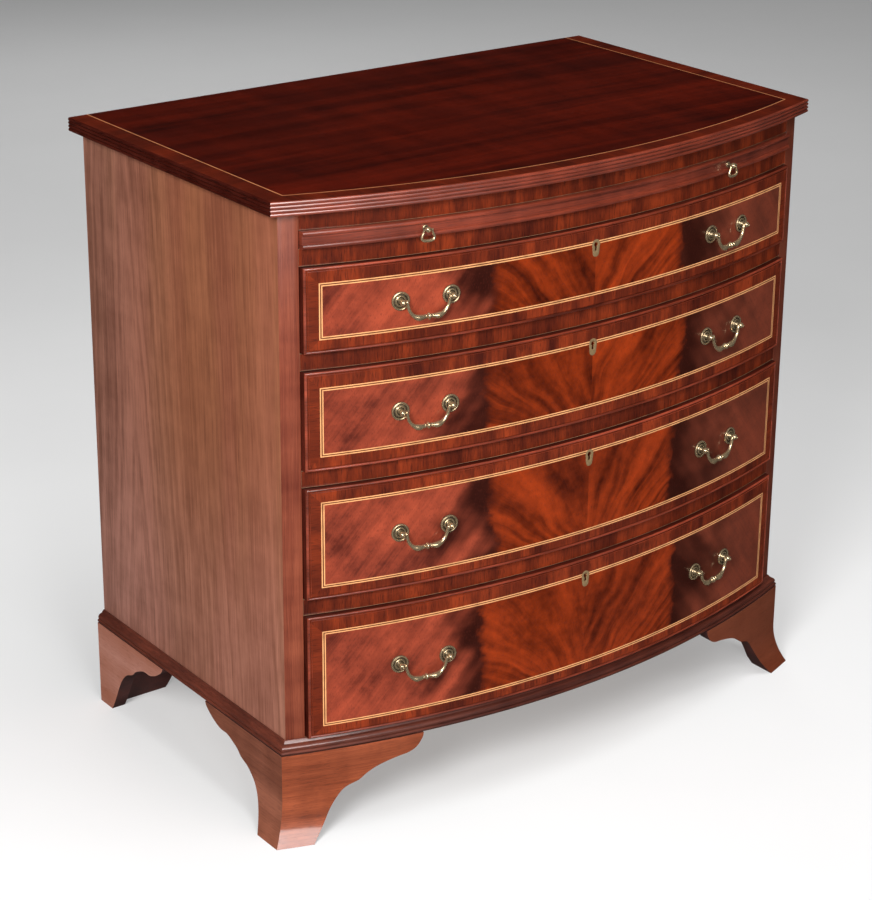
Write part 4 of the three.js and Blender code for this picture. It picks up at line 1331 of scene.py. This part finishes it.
class CHEST_OT_handles(ChestOperator):
    """Makes the turned posts and the swan-neck bails"""

    bl_idname = "chest.make_handles"
    bl_label = "Swan-neck handles"

    # Distance between the posts, and of the pins' axis from the drawer's face
    SPREAD = 0.067
    PIVOT = 0.009
    # From the nut behind the front, by the rosette with its rim and ring, to the ball and its tip
    POST = (
        (0.0, -0.0313), (0.0022, -0.0313), (0.0022, -0.0283), (0.0055, -0.0283), (0.0055, -0.0243),
        (0.0022, -0.0243), (0.0022, 0.0), (0.0117, 0.0),
        (0.0104, 0.0012, 0.0014, -60, 165), (0.0087, 0.0008), (0.0076, 0.0008),
        (0.0060, 0.0014, 0.0012, -20, 160), (0.0045, 0.0012), (0.0040, 0.0016),
        (0.0030, 0.0036), (0.0026, 0.0042),
        (0.0, PIVOT, 0.0040, -50, 60, 8), (0.0014, 0.0128), (0.0, 0.0134, 0.0011, -30, 90, 4),
    )
    POST_SIDES = 40
    # Half of the bail from a pin to its middle, as X from the middle and drop below the pins
    BAIL = (
        (0.0355, 0.0), (0.0330, 0.0), (0.0300, 0.0), (0.0281, 0.0012), (0.0273, 0.0050), (0.0256, 0.0106),
        (0.0221, 0.0158), (0.0180, 0.0193), (0.0132, 0.0212), (0.0085, 0.0211), (0.0040, 0.0206),
    )
    MIDDLE_DROP = 0.0206
    # Radius at the pins and by the knop, and what the fullest place of a lobe adds
    PIN = 0.0017
    SLIM = 0.0021
    LOBE = 0.0018
    # A lobe's middle and width, and the drop down to which the rod is as slim as at the pins
    LOBE_X = 0.0130
    LOBE_WIDTH = 0.0062
    PIN_DROP = 0.0005
    ROD_SIDES = 16
    CURVE_STEPS = 6
    # X, drop, radius and flattening of the knop, the beads beside it and those by the pins
    BEADS = (
        (0.0, MIDDLE_DROP, 0.0044, 0.55), (0.0046, MIDDLE_DROP, 0.0031, 0.35),
        (-0.0046, MIDDLE_DROP, 0.0031, 0.35), (-0.0285, 0.0, 0.0026, 0.8), (0.0285, 0.0, 0.0026, 0.8),
    )

    def make(self, context):
        post_metal = brass("post_brass", *self.colours.pair("brass"), 111.0)
        bail_metal = brass("bail_brass", *self.colours.pair("brass"), 113.0)
        for number in DRAWERS:
            body = f"drawer_{number}"
            for name, _ in SIDES:
                place = stance(f"{body}_{name}_bail_swing")
                self.bail(f"{body}_{name}", place, bail_metal)
                for post_name, post_side in SIDES:
                    self.post(f"{body}_{name}", post_name, body, place, post_side, post_metal)

    def post(self, handle, name, body, place, side, metal):
        """A rosette with a beaded rim, a neck and a ball, and the nut behind the drawer front."""
        bm = turned(self.POST, self.POST_SIDES)
        radius = BOW_RADIUS + PROUD
        swing = math.asin(self.SPREAD / 2 / (radius + self.PIVOT)) * side
        pivot = place.translation
        base = math.atan2(pivot.x, BOW_CENTRE_Y - pivot.y)
        spot = Matrix.Translation((0, BOW_CENTRE_Y, pivot.z)) @ Matrix.Rotation(base + swing, 4, "Z")
        bm.transform(spot @ Matrix.Translation((0, -radius, 0)))
        node = f"{handle}_handle_post_{name}"
        finish_piece(bm, f"{handle}_post_{name}", body, [metal], [node])

    def bail(self, name, place, metal):
        path = hanging_path(self.BAIL, self.MIDDLE_DROP, self.CURVE_STEPS)
        bm = rod(path, [self.thickness(point) for point in path], self.ROD_SIDES)
        for x, drop, radius, squash in self.BEADS:
            flat_ball(bm, (x, 0, -drop), "Y", radius, squash, 20, 12)
        bm.transform(place)
        node = f"{name}_handle_bail"
        finish_piece(bm, f"{name}_bail_rod", f"{name}_bail", [metal], [node], ROD_ANGLE)

    def thickness(self, point):
        """The bail's radius: slim at the pins, fuller in the lobes, slim again by the knop."""
        if point.z > -self.PIN_DROP:
            return self.PIN
        return self.SLIM + self.LOBE * math.exp(-(((abs(point.x) - self.LOBE_X) / self.LOBE_WIDTH) ** 2))


class CHEST_OT_pulls(ChestOperator):
    """Makes the small posts and stirrups of the slide"""

    bl_idname = "chest.make_pulls"
    bl_label = "Slide pulls"

    KNOB = 0.0037
    # From behind the slide's edge, by a collar and a neck, to the knob and its tip
    POST = (
        (0.0, -0.028), (0.0018, -0.028), (0.0018, -0.0085), (0.0039, -0.0085),
        (0.0033, -0.0079, 0.0006, 0, 90, 4), (0.0024, -0.0070), (0.0019, -0.0050),
        (0.0, 0.0, KNOB, -58, 66, 8), (0.0, KNOB, 0.0011, -20, 90, 4),
    )
    POST_SIDES = 32
    # Half of the stirrup from its pin to the middle of its foot, as X and drop below the pin
    STIRRUP = ((0.0050, 0.0), (0.0061, 0.0036), (0.0078, 0.0078), (0.0080, 0.0108), (0.0056, 0.0130))
    DROP = 0.0136
    SLIM = 0.0013
    FULL = 0.0020
    PIN_REACH = 0.0062
    ROD_SIDES = 12
    CURVE_STEPS = 8
    PIN_STEPS = 4

    def make(self, context):
        metal = brass("pull_brass", *self.colours.pair("brass"), 121.0)
        path = hanging_path(self.STIRRUP, self.DROP, self.CURVE_STEPS)
        radii = [self.SLIM + (self.FULL - self.SLIM) * max(0.0, -point.z / self.DROP) ** 2 for point in path]
        pin = smooth_path([(-self.PIN_REACH, 0.0), (self.PIN_REACH, 0.0)], self.PIN_STEPS)
        for name, _ in SIDES:
            place = stance(f"pull_ring_{name}_swing")
            pull = f"slide_pull_{name}"
            bm = turned(self.POST, self.POST_SIDES)
            bm.transform(place)
            finish_piece(bm, f"{pull}_knob", "slide", [metal], [f"{pull}_post"])
            bm = rod(path, radii, self.ROD_SIDES)
            join(bm, rod(pin, [self.SLIM] * len(pin), self.ROD_SIDES))
            bm.transform(place)
            body, node = f"pull_ring_{name}", f"{pull}_ring"
            finish_piece(bm, f"{pull}_stirrup", body, [metal], [node], ROD_ANGLE)


class CHEST_OT_stage(ChestOperator):
    """Makes the floor, the lights and the camera"""

    bl_idname = "chest.make_stage"
    bl_label = "Studio"

    FLOOR_HALF = 30.0
    # Name, place, target, size, power in watts, and whether it lights the colour and the polish
    LIGHTS = (
        ("key", (-3.3, -2.3, 2.7), (0.0, -0.2, 0.4), 1.6, 215.0, True, True),
        ("front", (-1.7, -3.7, 1.5), (-0.2, -0.2, 0.3), 0.8, 42.0, True, True),
        ("panel", (-1.3, -4.3, 2.0), (-0.2, -0.2, 0.4), 2.4, 110.0, False, True),
        ("brow", (-0.8, -3.3, 3.6), (0.0, -0.2, 0.5), 1.2, 30.0, True, False),
        ("fill", (3.3, -2.6, 1.6), (0.1, -0.2, 0.4), 2.0, 3.0, True, False),
        ("overhead", (0.3, -1.4, 4.8), (0.0, -0.6, 0.0), 3.0, 130.0, True, False),
        ("back", (1.6, 3.6, 2.2), (0.0, 0.2, 0.4), 2.4, 22.0, True, False),
    )
    # Strength of the white surroundings as they light the chest, as its polish mirrors them and as seen
    SURROUNDINGS = 0.045
    MIRRORED_SURROUNDINGS = 0.012
    SEEN_SURROUNDINGS = 0.36
    # Glow of the floor, which stands for the bounced light of a white studio, near the chest and away from it
    NEAR_GLOW = 0.29
    FAR_GLOW = 0.175
    GLOW_START = 0.9
    GLOW_END = 2.6

    def make(self, context):
        self.floor()
        self.world(context)
        for name, place, target, size, power, diffuse, mirrored in self.LIGHTS:
            lamp = bpy.data.lights.new(f"{name}_light", "AREA")
            lamp.shape, lamp.size, lamp.energy = "DISK", size, power
            light = bpy.data.objects.new(f"{name}_light", lamp)
            light.visible_diffuse = diffuse
            light.visible_glossy = mirrored
            context.scene.collection.objects.link(light)
            light.location = place
            light.rotation_euler = (Vector(place) - Vector(target)).to_track_quat("Z", "Y").to_euler()
        self.camera(context)
        context.scene.view_settings.view_transform = "Standard"

    def floor(self):
        bm = bmesh.new()
        bmesh.ops.create_grid(bm, x_segments=1, y_segments=1, size=self.FLOOR_HALF)
        finish = Finish("floor_paint")
        grain = finish.noise(finish.x * 3, finish.y * 3, detail=3)
        tint = self.colours.floor
        away = (finish.x * finish.x + finish.y * finish.y) ** 0.5
        share = finish.step(away, self.GLOW_START, self.GLOW_END, 1.0, self.FAR_GLOW / self.NEAR_GLOW)
        paint = finish.done(
            Base_Color=finish.mix(finish.step(grain, 0.3, 0.7), tint, dimmed(tint, 0.98)),
            Roughness=0.7,
            Emission_Color=finish.mix(share, (0, 0, 0), (1, 1, 1)),
            Emission_Strength=self.NEAR_GLOW,
        )
        floor = add_object(bm, "studio_floor", [paint])
        floor.visible_glossy = False

    def world(self, context):
        world = bpy.data.worlds.new("studio")
        world.use_nodes = True
        tree = world.node_tree
        nodes = Nodes(tree)
        rays = nodes.node("ShaderNodeLightPath").outputs
        strengths = {"To Min": self.SURROUNDINGS, "To Max": self.MIRRORED_SURROUNDINGS}
        strength = nodes.node("ShaderNodeMapRange", values={"Value": rays["Is Glossy Ray"], **strengths})
        added = self.SEEN_SURROUNDINGS - self.SURROUNDINGS
        values = {0: rays["Is Camera Ray"], 1: added, 2: strength.outputs["Result"]}
        seen = nodes.node("ShaderNodeMath", {"operation": "MULTIPLY_ADD"}, values)
        tree.links.new(seen.outputs[0], tree.nodes["Background"].inputs["Strength"])
        tree.nodes["Background"].inputs["Color"].default_value = (1.0, 1.0, 1.0, 1.0)
        context.scene.world = world

    def camera(self, context):
        studio = context.scene.chest_studio
        a, e = studio.azimuth, studio.elevation
        back = Vector((-math.sin(a) * math.cos(e), -math.cos(a) * math.cos(e), math.sin(e)))
        right = (-back).cross(Vector((0, 0, 1))).normalized()
        up = right.cross(-back)
        c, s = math.cos(studio.roll), math.sin(studio.roll)
        axes = (c * right + s * up, c * up - s * right, back)
        lens = bpy.data.cameras.new("camera")
        lens.sensor_fit = "AUTO"
        lens.lens = studio.focal * lens.sensor_width
        lens.shift_y = studio.shift
        camera = bpy.data.objects.new("camera", lens)
        context.scene.collection.objects.link(camera)
        place = Matrix(axes).transposed().to_4x4()
        place.translation = Vector(studio.target) + back * studio.distance
        camera.matrix_world = place
        context.scene.camera = camera


OPERATORS = (
    CHEST_OT_stage, CHEST_OT_top, CHEST_OT_sides, CHEST_OT_rails, CHEST_OT_back, CHEST_OT_moulding,
    CHEST_OT_feet, CHEST_OT_slide, CHEST_OT_pulls, CHEST_OT_drawer_fronts, CHEST_OT_drawer_boxes,
    CHEST_OT_locks, CHEST_OT_handles,
)


# The settings of the add-on, by their names in a scene
GROUPS = {"chest_sizes": ChestSizes, "chest_colours": ChestColours, "chest_studio": ChestStudio}


class CHEST_PT_sidebar(bpy.types.Panel):
    """The chest's settings and the operators that make its pieces"""

    bl_label = "Chest"
    bl_idname = "CHEST_PT_sidebar"
    bl_space_type = "VIEW_3D"
    bl_region_type = "UI"
    bl_category = "Chest"

    def draw(self, context):
        for operator in OPERATORS:
            self.layout.operator(operator.bl_idname)
        for key in GROUPS:
            box = self.layout.box()
            group = getattr(context.scene, key)
            for name in group.__annotations__:
                box.prop(group, name)


CLASSES = (*GROUPS.values(), *OPERATORS, CHEST_PT_sidebar)


def register():
    for kind in CLASSES:
        bpy.utils.register_class(kind)
    for name, group in GROUPS.items():
        setattr(bpy.types.Scene, name, PointerProperty(type=group))


def unregister():
    for name in GROUPS:
        delattr(bpy.types.Scene, name)
    for kind in reversed(CLASSES):
        bpy.utils.unregister_class(kind)


def main():
    register()
    for name in list(bpy.data.objects.keys()):
        if name in ("Cube", "Light", "Camera"):
            bpy.data.objects.remove(bpy.data.objects[name])
    for operator in OPERATORS:
        getattr(bpy.ops.chest, operator.bl_idname.split(".")[1])()


if __name__ == "__main__":
    main()
